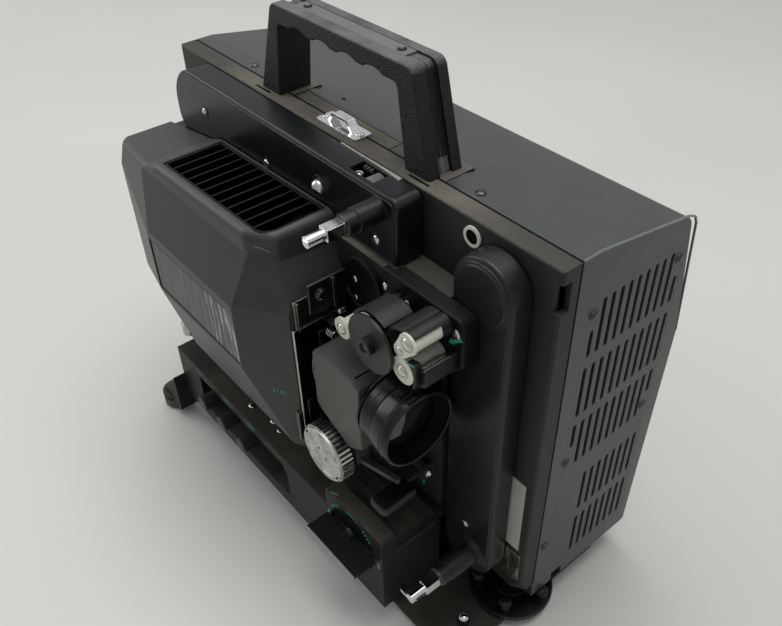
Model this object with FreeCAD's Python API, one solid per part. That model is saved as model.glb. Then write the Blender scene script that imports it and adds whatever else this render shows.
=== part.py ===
import FreeCAD, Part
import math
import os

# Film projector, 16 mm sound type, seen from the operator side.
# Millimetres. +X points out of the lens, +Z is up, the operator stands on the -Y side.
# Z = 0 is the table, Y = 0 is the seam between the cast frame and the rear housing.

Vector = FreeCAD.Vector

# Body
body_length = 397.0
front_x = 200.0
rear_x = front_x - body_length
deck_z = 338.0
face_y = -14.0
seam_y = 0.0
frame_bottom_z = 42.5
frame_wall = 3.5
frame_edge_radius = 2.0
deck_sheet = 3.0
seam_gap = 0.8
fit_gap = 0.4
bearing_gap = 0.05
stud_gap = 0.1
seat_gap = 0.3

# Corner cut low on the casting's lens end: along X, along Y and up
corner_cut_x = 10.5
corner_cut_y = 7.0
corner_cut_z = 17.5

# Deck tongues that reach back under the handle
tongue_reach = 25.0
tongue_middle_reach = 11.5
tongue_width = 31.0
tongue_middle_x0 = -57.0
tongue_middle_x1 = 43.0

# Rear housing, a folded shell
housing_bottom_z = 26.0
housing_flat = 15.0
housing_shoulder_y = 99.0
housing_shoulder_drop = 14.0
housing_back_y = 115.0
housing_bend_drop = 111.0
housing_bottom_back_y = 109.0
housing_corner_radius = 12.0
housing_wall = 2.5
inlet_y = 66.0
inlet_z = 63.0
inlet_width = 28.0
inlet_height = 22.0
inlet_depth = 14.0
inlet_lip = 0.8

# Front grille
grille_left_y = 12.5
grille_right_y = 100.0
grille_bottom_z = 43.0
grille_top_z = 306.0
grille_sheet = 1.5
slot_width = 3.4
slot_pitch = 7.75
slot_first_y = 18.5
slot_rows_full = [(260.5, 301.5), (210.0, 251.8), (161.0, 202.4)]
slot_columns_full = 11
slot_short_share = 0.5
slot_rows_low = [(99.0, 140.0), (48.5, 90.0)]
slot_columns_low = 8
slot_low_first_y = 40.5
screw_radius = 3.2
screw_head = 1.6
deck_screw_y = 7.6
deck_screw_left_x = -122.5
deck_screw_right_x = 118.0

# Handle
handle_left_x = -89.0
handle_right_x = 90.0
handle_top_left_x = -67.0
handle_top_right_x = 74.0
handle_height = 65.0
handle_front_y = -7.0
handle_back_y = 20.0
handle_leg = 22.5
handle_grip = 13.0
handle_channel_front = 2.0
handle_channel_back = 12.0
handle_channel_depth = 2.5
handle_cap_margin = 16.0
handle_cap_depth = 1.6
scallop_radius = 19.0
scallop_depth = 2.6
scallop_count = 4

# Lid catch on the deck
catch_x0 = -21.0
catch_x1 = 22.0
catch_y0 = -9.0
catch_y1 = 5.0
catch_sheet = 1.2
catch_bridge_height = 8.0

# Mechanism housing that stands out of the frame
mech_left_x = 40.0
mech_step_x = 97.0
mech_right_x = 134.0
mech_front_y = -40.0
mech_step_y = -33.5
mech_drop = 47.5
mech_bottom_z = 100.0
mech_wall = 3.0

# Lamp house
lamp_left_x = rear_x + 4.0
lamp_right_x = 48.5
lamp_back_y = -36.8
lamp_top_drop = 34.0
lamp_front_y = -110.0
lamp_bottom_z = 131.0
lamp_wall = 2.5
lamp_box_top_drop = 70.0
lamp_crease_drop = 49.0
lamp_crease_y = -92.5
lamp_corner_radius = 9.0
cap_front_y = -93.5
cap_left_x = -140.0
cap_left_drop = 11.0
cap_right_x = 31.5
cap_facet_x = 13.0
cap_facet_y = -82.6
cap_radius = 6.5
cap_tilt = 2.2
roof_break_x = -124.0
vent_x0 = -104.5
vent_x1 = 27.0
vent_y0 = -87.0
vent_y1 = -38.3
vent_corner_radius = 12.0
vent_slats = 12
slat_sheet = 1.2
recess_x0 = -106.0
recess_x1 = 12.0
recess_z0 = 199.0
recess_z1 = 245.0
recess_depth = 1.5
thumb_radius = 6.0
thumb_stem_radius = 3.0
frame_lever_z0 = 144.0
frame_lever_z1 = 148.0
frame_lever_travel = 3.0

# Take-up arm, folded along the top
arm_gap = 2.0
arm_back_y = face_y - arm_gap
take_up_front_y = -36.0
take_up_pivot_x = -145.0
take_up_pivot_drop = 30.5
take_up_hub_radius = 30.0
take_up_tip_x = 94.0
take_up_tip_drop = 47.0
take_up_spindle_x = 77.6
take_up_spindle_drop = 11.5
arm_wall = 2.5
arm_rim = 2.5
arm_rim_step = 0.8
pivot_radius = 9.0
arm_boss_radius = 8.0

# Feed arm, folded down along the front
feed_front_y = -32.8
feed_pivot_x = 160.0
feed_pivot_drop = 29.5
feed_tip_z = 76.5
feed_spindle_x = 166.3
feed_spindle_z = 77.5
feed_half_width = 23.2
feed_disc_radius = 20.5
feed_disc_step = 1.1
feed_ring_radius = 14.0

# Reel spindles
spindle_radius = 4.0
spindle_square = 8.0
take_up_boss_end_y = -62.0
feed_boss_end_y = -64.0
spindle_square_length = 13.0
spindle_tip_length = 12.5
latch_length = 11.0
latch_sheet = 2.4
latch_gap = 0.15
latch_pin_radius = 1.0
latch_pin_back = 1.8

# Mechanism plate and film path
plate_front_y = -44.5
plate_back_y = mech_step_y
plate_top_drop = 42.5
plate_right_x = 161.0
drum_x = 67.4
drum_drop = 71.0
drum_radius = 20.5
drum_rim = 2.2
drum_recess = 1.5
sprocket_x = 115.0
sprocket_drop = 70.0
sprocket_radius = 14.0
sprocket_teeth = 12
guard_radius = 19.7
guard_front_y = -75.0
film_front_y = -71.0
guard_sheet = 2.2
hood_radius = 20.8
hood_back_y = -50.0
film_shaft_radius = 3.0
keeper_x = 146.0
keeper_drop = 50.5
keeper_radius = 7.0
keeper_sheet = 1.5
keeper_lobe_x = 6.5
keeper_lobe_z = 9.0
keeper_lobe_radius = 5.2
low_roller_x = 141.0
low_roller_drop = 74.0
low_roller_radius = 9.3
low_roller_waist = 6.2
small_roller_x = 83.5
small_roller_drop = 80.0
small_roller_radius = 7.5
small_roller_waist = 5.2
roller_pin_radius = 2.0

# Film gate
gate_x = 49.3
gate_sheet = 2.0
gate_front_y = -87.5
gate_top_drop = 96.0
gate_bottom_drop = 186.0
aperture_width = 10.3
aperture_height = 7.5

# Lens and its carrier
lens_y = -62.0
lens_z = 210.0
lens_tube_radius = 17.4
lens_front_x = 145.0
lens_front_radius = 27.7
glass_radius = 20.3
glass_curve = 60.0
lens_collar_radius = 24.0
lens_rear_x = 70.0
shutter_radius = 31.5
shutter_y = -46.0
shutter_z = 190.0
shutter_x = 34.0
shutter_sheet = 1.2
carrier_x0 = 63.0
carrier_x1 = 111.5
carrier_half_depth = 21.2
carrier_half_height = 25.0

# Inching knob on the main shaft
knob_x = 75.8
knob_z = 148.5
knob_radius = 22.7
knob_front_y = -92.0
knob_depth = 12.0
knob_flutes = 48
shaft_radius = 4.0
main_pulley_radius = 24.0
motor_pulley_radius = 10.0
pulley_width = 6.0
pulley_y = 26.0

# Motor and transformer, inside the rear housing
motor_back_x = 110.0
motor_drop_z = 40.0
motor_radius = 32.0
motor_y0 = 34.0
motor_y1 = 92.0
motor_foot_y0 = 40.0
motor_foot_y1 = 86.0
rotor_radius = 3.0
rotor_y0 = 5.0
fan_radius = 34.0
fan_blades = 10
core_x0 = 90.0
core_x1 = 160.0
core_y0 = 30.0
core_y1 = 80.0
core_z1 = 85.0

# Base beam with the controls
base_left_x = -159.0
base_right_x = 137.0
base_front_y = -90.0
base_bottom_z = 28.0
base_top_z = 87.0
base_wall = 3.0
selector_left_x = 71.5
selector_top_z = 107.0
selector_back_y = -77.0
shelf_back_y = -40.0
shelf_drop = 8.5
dial_x = 102.0
dial_z = 77.0
dial_radius = 25.0
dial_depth = 7.0
paddle_length = 57.0
paddle_reach = 20.0
paddle_sheet = 8.0
panel_x0 = -122.0
panel_x1 = 16.0
panel_z0 = 40.0
panel_z1 = 77.0
panel_depth = 18.0
control_first_x = -105.0
control_pitch = 32.0
control_z = 61.0
control_radius = 7.0
control_front_y = -100.0

# Loop lever
lever_x = 128.0
lever_z = 136.0
lever_pad_width = 17.0
lever_pad_length = 30.0
lever_pad_front_y = -86.0
lever_pin_radius = 2.0
lever_hub_radius = 4.5
lever_hub_half = 6.0
lever_ear_sheet = 3.0

# Feet and front elevation
foot_radius = 13.5
foot_height = 11.0
rear_foot_x = rear_x + 13.0
rear_foot_y = -92.0
back_foot_y = 92.0
wheel_x = 175.6
wheel_y = 5.9
wheel_radius = 32.4
wheel_bottom_z = 8.0
wheel_sheet = 4.0
wheel_lugs = 5
wheel_lug_turn = -57.0
wheel_lug_ring = 25.7
wheel_lug_stem = 3.2
wheel_lug_radius = 5.0
wheel_lug_top_z = 24.6
wheel_hub_radius = 9.0
wheel_teeth = 72
stud_radius = 5.0
stud_height = 28.0
screw_boss_radius = 8.0
screw_flange = 6.0
plate_x0 = 110.0
plate_x1 = 193.0
plate_half_width = 78.8
plate_sheet = 3.0
plate_foot_height = 4.0
plate_foot_radius = 9.0
plate_foot_x = 150.0
plate_pin_x = 175.0
plate_pin_reach = 50.3
plate_pin_radius = 4.6


def box(x0, x1, y0, y1, z0, z1):
    return Part.makeBox(x1 - x0, y1 - y0, z1 - z0, Vector(x0, y0, z0))


def rod_x(y, z, radius, x0, x1):
    return Part.makeCylinder(radius, x1 - x0, Vector(x0, y, z), Vector(1, 0, 0))


def rod_y(x, z, radius, y0, y1):
    return Part.makeCylinder(radius, y1 - y0, Vector(x, y0, z), Vector(0, 1, 0))


def rod_z(x, y, radius, z0, z1):
    return Part.makeCylinder(radius, z1 - z0, Vector(x, y, z0), Vector(0, 0, 1))


def outline(corners, place):
    """Closed wire through corners (u, v, radius), with each radius as a tangent arc."""
    points = [place(c[0], c[1]) for c in corners]
    count = len(points)
    starts = []
    ends = []
    middles = []
    for i in range(count):
        corner = points[i]
        radius = corners[i][2]
        to_last = (points[i - 1] - corner).normalize()
        to_next = (points[(i + 1) % count] - corner).normalize()
        if radius == 0:
            starts.append(corner)
            ends.append(corner)
            middles.append(None)
            continue
        half = to_last.getAngle(to_next) / 2
        reach = radius / math.tan(half)
        bisector = (to_last + to_next).normalize()
        starts.append(corner + to_last * reach)
        ends.append(corner + to_next * reach)
        middles.append(corner + bisector * (radius / math.sin(half) - radius))
    edges = []
    for i in range(count):
        if middles[i] is not None:
            edges.append(Part.Arc(starts[i], middles[i], ends[i]).toShape())
        after = starts[(i + 1) % count]
        if ends[i].distanceToPoint(after) > 1e-6:
            edges.append(Part.makeLine(ends[i], after))
    return Part.Wire(Part.__sortEdges__(edges))


def slab_y(corners, y0, y1):
    """Outline of (x, z, radius) corners, thick along Y."""
    wire = outline(corners, lambda x, z: Vector(x, y0, z))
    return Part.Face(wire).extrude(Vector(0, y1 - y0, 0))


def slab_x(corners, x0, x1):
    """Outline of (y, z, radius) corners, thick along X."""
    wire = outline(corners, lambda y, z: Vector(x0, y, z))
    return Part.Face(wire).extrude(Vector(x1 - x0, 0, 0))


def slab_z(corners, z0, z1):
    """Outline of (x, y, radius) corners, thick along Z."""
    wire = outline(corners, lambda x, y: Vector(x, y, z0))
    return Part.Face(wire).extrude(Vector(0, 0, z1 - z0))


def rectangle(u0, u1, v0, v1, radius):
    return [(u0, v0, radius), (u1, v0, radius), (u1, v1, radius), (u0, v1, radius)]


def turned(profile, centre, axis, side):
    """Solid of revolution of (along, radius) points about an axis through centre."""
    points = [centre + axis * along + side * radius for along, radius in profile]
    face = Part.Face(Part.makePolygon(points + [points[0]]))
    return face.revolve(centre, axis, 360)


def turned_x(profile, y, z):
    return turned(profile, Vector(0, y, z), Vector(1, 0, 0), Vector(0, 1, 0))


def turned_y(profile, x, z):
    return turned(profile, Vector(x, 0, z), Vector(0, 1, 0), Vector(1, 0, 0))


def turned_z(profile, x, y):
    return turned(profile, Vector(x, y, 0), Vector(0, 0, 1), Vector(1, 0, 0))


def fillet(shape, radius, chosen):
    return shape.makeFillet(radius, [edge for edge in shape.Edges if chosen(edge)])


def straight_along(edge, axis):
    if not isinstance(edge.Curve, Part.Line):
        return False
    return abs(abs(edge.Curve.Direction.dot(axis)) - 1) < 1e-6


def at(edge, **where):
    """True when every point of the edge lies at the given x, y or z."""
    limits = edge.BoundBox
    spans = {"x": (limits.XMin, limits.XMax), "y": (limits.YMin, limits.YMax), "z": (limits.ZMin, limits.ZMax)}
    for name, value in where.items():
        low, high = spans[name]
        if abs(low - value) > 1e-3 or abs(high - value) > 1e-3:
            return False
    return True


def obround_x(y, z0, z1, width, x0, x1):
    """Upright slot with round ends, cut along X."""
    half = width / 2
    slot = box(x0, x1, y - half, y + half, z0 + half, z1 - half)
    slot = slot.fuse(rod_x(y, z0 + half, half, x0, x1))
    return slot.fuse(rod_x(y, z1 - half, half, x0, x1)).removeSplitter()


def drop(distance):
    return deck_z - distance


def pan_head(centre, axis, radius):
    """Low tapered screw head, seated at centre."""
    return Part.makeCone(radius, radius * 0.7, screw_head, centre, axis)


def housing_profile(inset):
    """Corners (y, z) of the rear housing, moved inwards by the wall."""
    return [
        (seam_y + seam_gap, drop(inset), 0),
        (housing_flat, drop(inset), 0),
        (housing_shoulder_y - inset, drop(housing_shoulder_drop + inset), housing_corner_radius),
        (housing_back_y - inset, drop(housing_bend_drop), 0),
        (housing_bottom_back_y - inset, housing_bottom_z + inset, 3.0),
        (seam_y + seam_gap, housing_bottom_z + inset, 0),
    ]


def deck_tongues(grow, low, high):
    """Deck sheet that reaches back under the handle legs and between them."""
    left_x = handle_left_x - 3.5
    right_x = handle_right_x + 5.0
    back = tongue_reach + grow
    left = box(left_x - grow, left_x + tongue_width + grow, seam_y, back, low, high)
    right = box(right_x - tongue_width - grow, right_x + grow, seam_y, back, low, high)
    middle = box(tongue_middle_x0 - grow, tongue_middle_x1 + grow, seam_y, tongue_middle_reach + grow, low, high)
    return left.fuse(right).fuse(middle).removeSplitter()


def star(count, outer, depth):
    """Closed toothed outline as (u, v) points, with straight flanks."""
    points = []
    for i in range(2 * count):
        turn = math.pi * i / count
        radius = outer if i % 2 == 0 else outer - depth
        points.append((radius * math.cos(turn), radius * math.sin(turn)))
    return points


def toothed_y(x, z, count, outer, depth, y0, y1):
    """Toothed prism along Y."""
    points = [Vector(x + u, y0, z + v) for u, v in star(count, outer, depth)]
    return Part.Face(Part.makePolygon(points + [points[0]])).extrude(Vector(0, y1 - y0, 0))


def toothed_z(x, y, count, outer, depth, z0, z1):
    """Toothed prism along Z."""
    points = [Vector(x + u, y + v, z0) for u, v in star(count, outer, depth)]
    return Part.Face(Part.makePolygon(points + [points[0]])).extrude(Vector(0, 0, z1 - z0))


def mechanism_bulge():
    """Housing that brings the film drive out of the frame, in two depths."""
    top = drop(mech_drop)
    wall = mech_wall
    deep = box(mech_left_x, mech_step_x, mech_front_y, face_y, mech_bottom_z, top)
    shallow = box(mech_step_x, mech_right_x, mech_step_y, face_y, mech_bottom_z, top)
    deep_hollow = box(mech_left_x + wall, mech_step_x - wall, mech_front_y + wall, face_y + frame_wall,
                      mech_bottom_z + wall, top - wall)
    shallow_hollow = box(mech_step_x - wall, mech_right_x - wall, mech_step_y + wall,
                         face_y + frame_wall, mech_bottom_z + wall, top - wall)
    return deep.fuse(shallow), deep_hollow.fuse(shallow_hollow)


def lamp_box():
    """Open tray behind the lamp house cover."""
    wall = mech_wall
    top = drop(lamp_box_top_drop)
    outer = box(lamp_left_x, mech_left_x, lamp_back_y, face_y, lamp_bottom_z, top)
    hollow = box(lamp_left_x + wall, mech_left_x - wall, lamp_back_y, face_y, lamp_bottom_z + wall, top - wall)
    end = box(lamp_left_x, lamp_left_x + 4 * wall, lamp_back_y, face_y - 2 * wall, top, top + 10.0)
    return outer.fuse(end), hollow


def lever_ears():
    """Two ears that hold the loop lever's pin."""
    ears = []
    for side in (-1, 1):
        middle = lever_hub_middle() + side * (lever_hub_half + fit_gap + lever_ear_sheet / 2)
        ears.append(box(middle - lever_ear_sheet / 2, middle + lever_ear_sheet / 2, lever_pin_y() - lever_hub_radius,
                        mech_step_y, lever_z - lever_hub_radius, lever_z + lever_hub_radius))
    return ears


def cut_corner(shape, inset):
    """Cut the low front corner of the casting off on a slant, inset by the wall for its hollow."""
    p = Vector(front_x, face_y, frame_bottom_z + corner_cut_z)
    q = Vector(front_x - corner_cut_x, face_y, frame_bottom_z)
    r = Vector(front_x, face_y + corner_cut_y, frame_bottom_z)
    slide = (q - p).cross(r - p).normalize() * -inset
    return cut_plane(shape, p + slide, q + slide, r + slide, Vector(0, face_y / 2, deck_z / 2))


def make_main_frame():
    shell = box(rear_x, front_x, face_y, seam_y, frame_bottom_z, deck_z)
    shell = fillet(shell, frame_edge_radius, lambda e: at(e, y=face_y))
    hollow = box(rear_x + frame_wall, front_x - frame_wall, face_y + frame_wall, seam_y,
                 frame_bottom_z + frame_wall, deck_z - frame_wall)
    shell = cut_corner(shell, 0.0).cut(cut_corner(hollow, frame_wall))
    shell = shell.fuse(deck_tongues(0.0, deck_z - deck_sheet, deck_z))
    bulge, hollow = mechanism_bulge()
    tray, tray_hollow = lamp_box()
    shutter_end = lamp_right_x - lamp_wall - fit_gap
    shutter_boss = rod_x(shutter_y, shutter_z, film_shaft_radius + 4.0, mech_left_x, shutter_end)
    shutter_web = box(mech_left_x, shutter_end, shutter_y, mech_front_y, shutter_z - film_shaft_radius - 4.0,
                      shutter_z + film_shaft_radius + 4.0)
    screw_boss = rod_z(wheel_x, wheel_y, screw_boss_radius, frame_bottom_z, frame_bottom_z + stud_height)
    screw_boss = screw_boss.fuse(box(wheel_x - 2 * screw_boss_radius, wheel_x + screw_boss_radius,
                                     face_y + frame_wall, wheel_y, frame_bottom_z, frame_bottom_z + screw_flange))
    shell = shell.fuse(bulge).fuse(tray).fuse(screw_boss)
    shell = shell.cut(hollow).cut(tray_hollow)
    shell = shell.fuse(shutter_boss).fuse(shutter_web)
    for ear in lever_ears():
        shell = shell.fuse(ear)
    notch = box(front_x - 4.5, front_x + 1, face_y - 1, face_y + 7.5, drop(29), drop(9))
    cuts = [
        notch,
        rod_y(knob_x, knob_z, shaft_radius + bearing_gap, mech_front_y - 1, seam_y + 1),
        rod_y(sprocket_x, drop(sprocket_drop), film_shaft_radius + bearing_gap, mech_step_y - 1, seam_y),
        rod_x(shutter_y, shutter_z, film_shaft_radius + bearing_gap, mech_left_x - 1, gate_x),
        rod_z(wheel_x, wheel_y, stud_radius + stud_gap, frame_bottom_z - 1, frame_bottom_z + stud_height + 1),
        rod_x(lever_pin_y(), lever_z, lever_pin_radius, lever_hub_middle() - 2 * lever_hub_half,
              lever_hub_middle() + 2 * lever_hub_half),
    ]
    for cut in cuts:
        shell = shell.cut(cut)
    return shell.removeSplitter()


def lever_hub_middle():
    return lever_x - 9.0


def lever_pin_y():
    return mech_step_y - lever_hub_radius - 1.5


def make_rear_housing():
    solid = slab_x(housing_profile(0.0), rear_x, front_x)
    inner = slab_x(housing_profile(housing_wall), rear_x + housing_wall, front_x - housing_wall)
    mouth = box(rear_x + housing_wall, front_x - housing_wall, seam_y - 1, seam_y + seam_gap + 1,
                housing_bottom_z + housing_wall, drop(housing_wall))
    shell = solid.cut(inner).cut(mouth)
    shell = shell.cut(deck_tongues(seam_gap, deck_z - deck_sheet - seat_gap, deck_z + 1))
    seat = box(front_x - grille_sheet, front_x + 1, grille_left_y - 0.15, grille_right_y + 0.15,
               grille_bottom_z - 0.15, grille_top_z + 0.15)
    window = box(front_x - housing_wall - 1, front_x + 1, grille_left_y + 3, grille_right_y - 2,
                 grille_bottom_z + 3, grille_top_z - 3)
    shell = shell.cut(seat).cut(window)
    notch = box(front_x - 12, front_x + 1, 22.0, 33.0, housing_bottom_z - 1, housing_bottom_z + 9)
    inlet = box(rear_x - 1, rear_x + housing_wall + 1, inlet_y - inlet_width / 2, inlet_y + inlet_width / 2,
                inlet_z - inlet_height / 2, inlet_z + inlet_height / 2)
    well = rod_z(wheel_x, wheel_y, wheel_hub_radius + seam_gap, housing_bottom_z - 1, frame_bottom_z)
    return shell.cut(notch).cut(inlet).cut(well).removeSplitter()


def make_front_grille():
    plate = box(front_x - grille_sheet, front_x, grille_left_y, grille_right_y, grille_bottom_z, grille_top_z)
    x0 = front_x - grille_sheet - 1
    x1 = front_x + 1
    slots = []
    for row, (low, high) in enumerate(slot_rows_full):
        for column in range(slot_columns_full):
            y = slot_first_y + column * slot_pitch
            bottom = low
            top = high
            at_side = column in (0, slot_columns_full - 1)
            if at_side and row == 0:
                top = low + (high - low) * slot_short_share
            if at_side and row == 2:
                bottom = high - (high - low) * slot_short_share
            slots.append(obround_x(y, bottom, top, slot_width, x0, x1))
    for low, high in slot_rows_low:
        for column in range(slot_columns_low):
            slots.append(obround_x(slot_low_first_y + column * slot_pitch, low, high, slot_width, x0, x1))
    return plate.cut(Part.makeCompound(slots))


def make_chrome_screws():
    """Screws of the casing, the film drive plate, the guard drum and the roller keeper."""
    forward = Vector(1, 0, 0)
    up = Vector(0, 0, 1)
    out = Vector(0, -1, 0)
    keeper_face = film_front_y - keeper_sheet
    drum_face = plate_front_y + drum_recess
    places = [
        (Vector(front_x, 95.2, 294.8), forward, screw_radius),
        (Vector(front_x, 17.2, 293.5), forward, screw_radius),
        (Vector(front_x, 94.6, 169.6), forward, screw_radius),
        (Vector(front_x, 15.8, 168.3), forward, screw_radius),
        (Vector(front_x, 7.5, 83.5), forward, screw_radius),
        (Vector(deck_screw_left_x, deck_screw_y, deck_z), up, screw_radius),
        (Vector(deck_screw_right_x, deck_screw_y, deck_z), up, screw_radius),
        (Vector(keeper_x, keeper_face, drop(keeper_drop)), out, 4.2),
        (Vector(keeper_x - keeper_lobe_x, keeper_face, drop(keeper_drop) - keeper_lobe_z), out, 2.6),
        (Vector(93.0, plate_front_y, drop(55.6)), out, 2.6),
        (Vector(113.1, plate_front_y, drop(57.1)), out, 2.6),
        (Vector(155.0, plate_front_y, drop(54.0)), out, 3.0),
        (Vector(drum_x - 7.5, drum_face, drop(drum_drop) + 1.0), out, 2.6),
        (Vector(drum_x - 7.5, drum_face, drop(drum_drop) - 14.0), out, 2.0),
    ]
    heads = [pan_head(centre, axis, radius) for centre, axis, radius in places]
    return Part.makeCompound(heads)


def handle_outline():
    lean = handle_leg * 0.3
    grip_z = handle_height - handle_grip
    return [
        (handle_left_x, deck_z, 0),
        (handle_top_left_x, deck_z + handle_height, 7.0),
        (handle_top_right_x, deck_z + handle_height, 7.0),
        (handle_right_x, deck_z, 0),
        (handle_right_x - handle_leg, deck_z, 0),
        (handle_right_x - handle_leg - lean, deck_z + grip_z, 4.0),
        (handle_left_x + handle_leg + lean, deck_z + grip_z, 4.0),
        (handle_left_x + handle_leg, deck_z, 0),
    ]


def handle_channel():
    """Channel along the outside of the grip, between the two side strips."""
    deep = handle_channel_depth
    y0 = handle_channel_front
    y1 = handle_channel_back
    corners = [
        (handle_left_x + deep, deck_z - 1, 0),
        (handle_top_left_x + deep, deck_z + handle_height - handle_cap_depth, 6.0),
        (handle_top_right_x - deep, deck_z + handle_height - handle_cap_depth, 6.0),
        (handle_right_x - deep, deck_z - 1, 0),
    ]
    inside = slab_y(corners, y0, y1)
    outside = box(handle_left_x - 5, handle_right_x + 5, y0, y1, deck_z - 1, deck_z + handle_height + 5)
    return outside.cut(inside)


def make_handle_half(y0, y1):
    half = slab_y(handle_outline(), y0, y1)
    half = half.cut(handle_channel())
    grip_z = deck_z + handle_height - handle_grip
    first = handle_left_x + handle_leg + 16.0
    span = handle_right_x - handle_left_x - 2 * handle_leg - 32.0
    for i in range(scallop_count):
        x = first + span * (i + 0.5) / scallop_count
        half = half.cut(rod_y(x, grip_z - scallop_radius + scallop_depth, scallop_radius, y0 - 1, y1 + 1))
    return half.removeSplitter()


def handle_split_y():
    return (handle_channel_front + handle_channel_back) / 2


def make_handle_front_shell():
    half = make_handle_half(handle_front_y, handle_split_y() - 0.15)
    return fillet(half, 1.5, lambda e: at(e, y=handle_front_y) and e.BoundBox.ZMax > deck_z + 1)


def make_handle_rear_shell():
    half = make_handle_half(handle_split_y() + 0.15, handle_back_y)
    return fillet(half, 1.5, lambda e: at(e, y=handle_back_y) and e.BoundBox.ZMax > deck_z + 1)


def make_handle_cap():
    top = deck_z + handle_height
    cap = box(handle_top_left_x + handle_cap_margin, handle_top_right_x - handle_cap_margin,
              handle_channel_front + 0.2, handle_channel_back - 0.2, top - handle_cap_depth, top - 0.2)
    up = Vector(0, 0, 1)
    middle = handle_split_y()
    for x in (handle_top_left_x + handle_cap_margin + 8, handle_top_right_x - handle_cap_margin - 8):
        cap = cap.fuse(pan_head(Vector(x, middle, top - 0.2), up, 2.6))
    return cap.removeSplitter()


def make_lid_catch():
    plate = slab_z(rectangle(catch_x0, catch_x1, catch_y0, catch_y1, 2.0), deck_z, deck_z + catch_sheet)
    middle = (catch_x0 + catch_x1) / 2
    top = deck_z + catch_bridge_height
    corners = [
        (middle - 13, deck_z + catch_sheet, 0),
        (middle - 8, top, 2.0),
        (middle + 8, top, 2.0),
        (middle + 13, deck_z + catch_sheet, 0),
    ]
    inner = [
        (middle - 10.6, deck_z + catch_sheet, 0),
        (middle - 7, top - 1.6, 1.0),
        (middle + 7, top - 1.6, 1.0),
        (middle + 10.6, deck_z + catch_sheet, 0),
    ]
    bridge = slab_y(corners, catch_y0 + 4.0, catch_y1 - 3.5)
    bridge = bridge.cut(slab_y(inner, catch_y0 + 3.0, catch_y1 - 2.5))
    catch = plate.fuse(bridge)
    for x in (catch_x0 + 4.2, catch_x1 - 4.2):
        catch = catch.fuse(pan_head(Vector(x, (catch_y0 + catch_y1) / 2, deck_z + catch_sheet),
                                    Vector(0, 0, 1), 2.4))
    return catch.removeSplitter()


def cut_plane(shape, p, q, r, keep):
    """Cut away the side of the plane through p, q and r that doesn't hold keep."""
    normal = (q - p).cross(r - p).normalize()
    if normal.dot(keep - p) > 0:
        normal = normal * -1
    half = 600.0
    plane = Part.makePlane(2 * half, 2 * half, Vector(-half, -half, 0))
    tool = plane.extrude(Vector(0, 0, 2 * half))
    turn = FreeCAD.Rotation(Vector(0, 0, 1), normal)
    tool.Placement = FreeCAD.Placement(p, turn)
    return shape.cut(tool)


def lamp_planes():
    """Cutting planes of the lamp house below its cap, each as three points."""
    front = lamp_front_y
    crease = drop(lamp_crease_drop)
    turn_left = recess_x0 + 1.0
    turn_right = recess_x1 + 1.0
    side_y = lamp_crease_y + 7.0
    return [
        (Vector(0, lamp_crease_y, crease), Vector(10, lamp_crease_y, crease), Vector(0, front, drop(86))),
        (Vector(0, front, drop(141)), Vector(10, front, drop(141)), Vector(0, -93, drop(207))),
        (Vector(turn_left, front, 0), Vector(turn_left, front, 10), Vector(lamp_left_x, side_y, 0)),
        (Vector(turn_left, front, drop(88)), Vector(turn_left - 22.0, -93, drop(47)),
         Vector(lamp_left_x, side_y, drop(72))),
        (Vector(turn_left + 2.0, -93, drop(207)), Vector(turn_left, front, drop(141)),
         Vector(lamp_left_x, side_y, drop(178))),
        (Vector(turn_right, front, 0), Vector(turn_right, front, 10), Vector(lamp_right_x + 1.5, -87.5, 0)),
        (Vector(turn_right, front, drop(85)), Vector(turn_right + 1.5, -92.8, drop(48)),
         Vector(lamp_right_x + 1.5, -87.4, drop(83))),
        (Vector(roof_break_x, 0, drop(45.5)), Vector(roof_break_x, -10, drop(45.5)),
         Vector(lamp_left_x, 0, drop(57.3))),
        (Vector(lamp_right_x - 20.0, 0, drop(47)), Vector(lamp_right_x - 20.0, -10, drop(47)),
         Vector(lamp_right_x - 1.5, 0, drop(77.5))),
    ]


def lamp_body(inset):
    """Faceted lamp house below its cap, with every face moved inwards by inset."""
    keep = Vector((lamp_left_x + lamp_right_x) / 2, (lamp_front_y + lamp_back_y) / 2, lens_z)
    body = box(lamp_left_x + inset, lamp_right_x - inset, lamp_front_y + inset, lamp_back_y - inset,
               lamp_bottom_z + inset, drop(lamp_crease_drop - 3.0) - inset)
    for p, q, r in lamp_planes():
        normal = (q - p).cross(r - p).normalize()
        if normal.dot(keep - p) < 0:
            normal = normal * -1
        slide = normal * inset
        body = cut_plane(body, p + slide, q + slide, r + slide, keep)
    return body


def tilted(shape):
    """Lean a piece of the lamp house cap with its roof, which rises towards the lens."""
    shape.rotate(Vector(vent_x1, 0, drop(lamp_top_drop)), Vector(0, 1, 0), -cap_tilt)
    return shape


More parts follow.
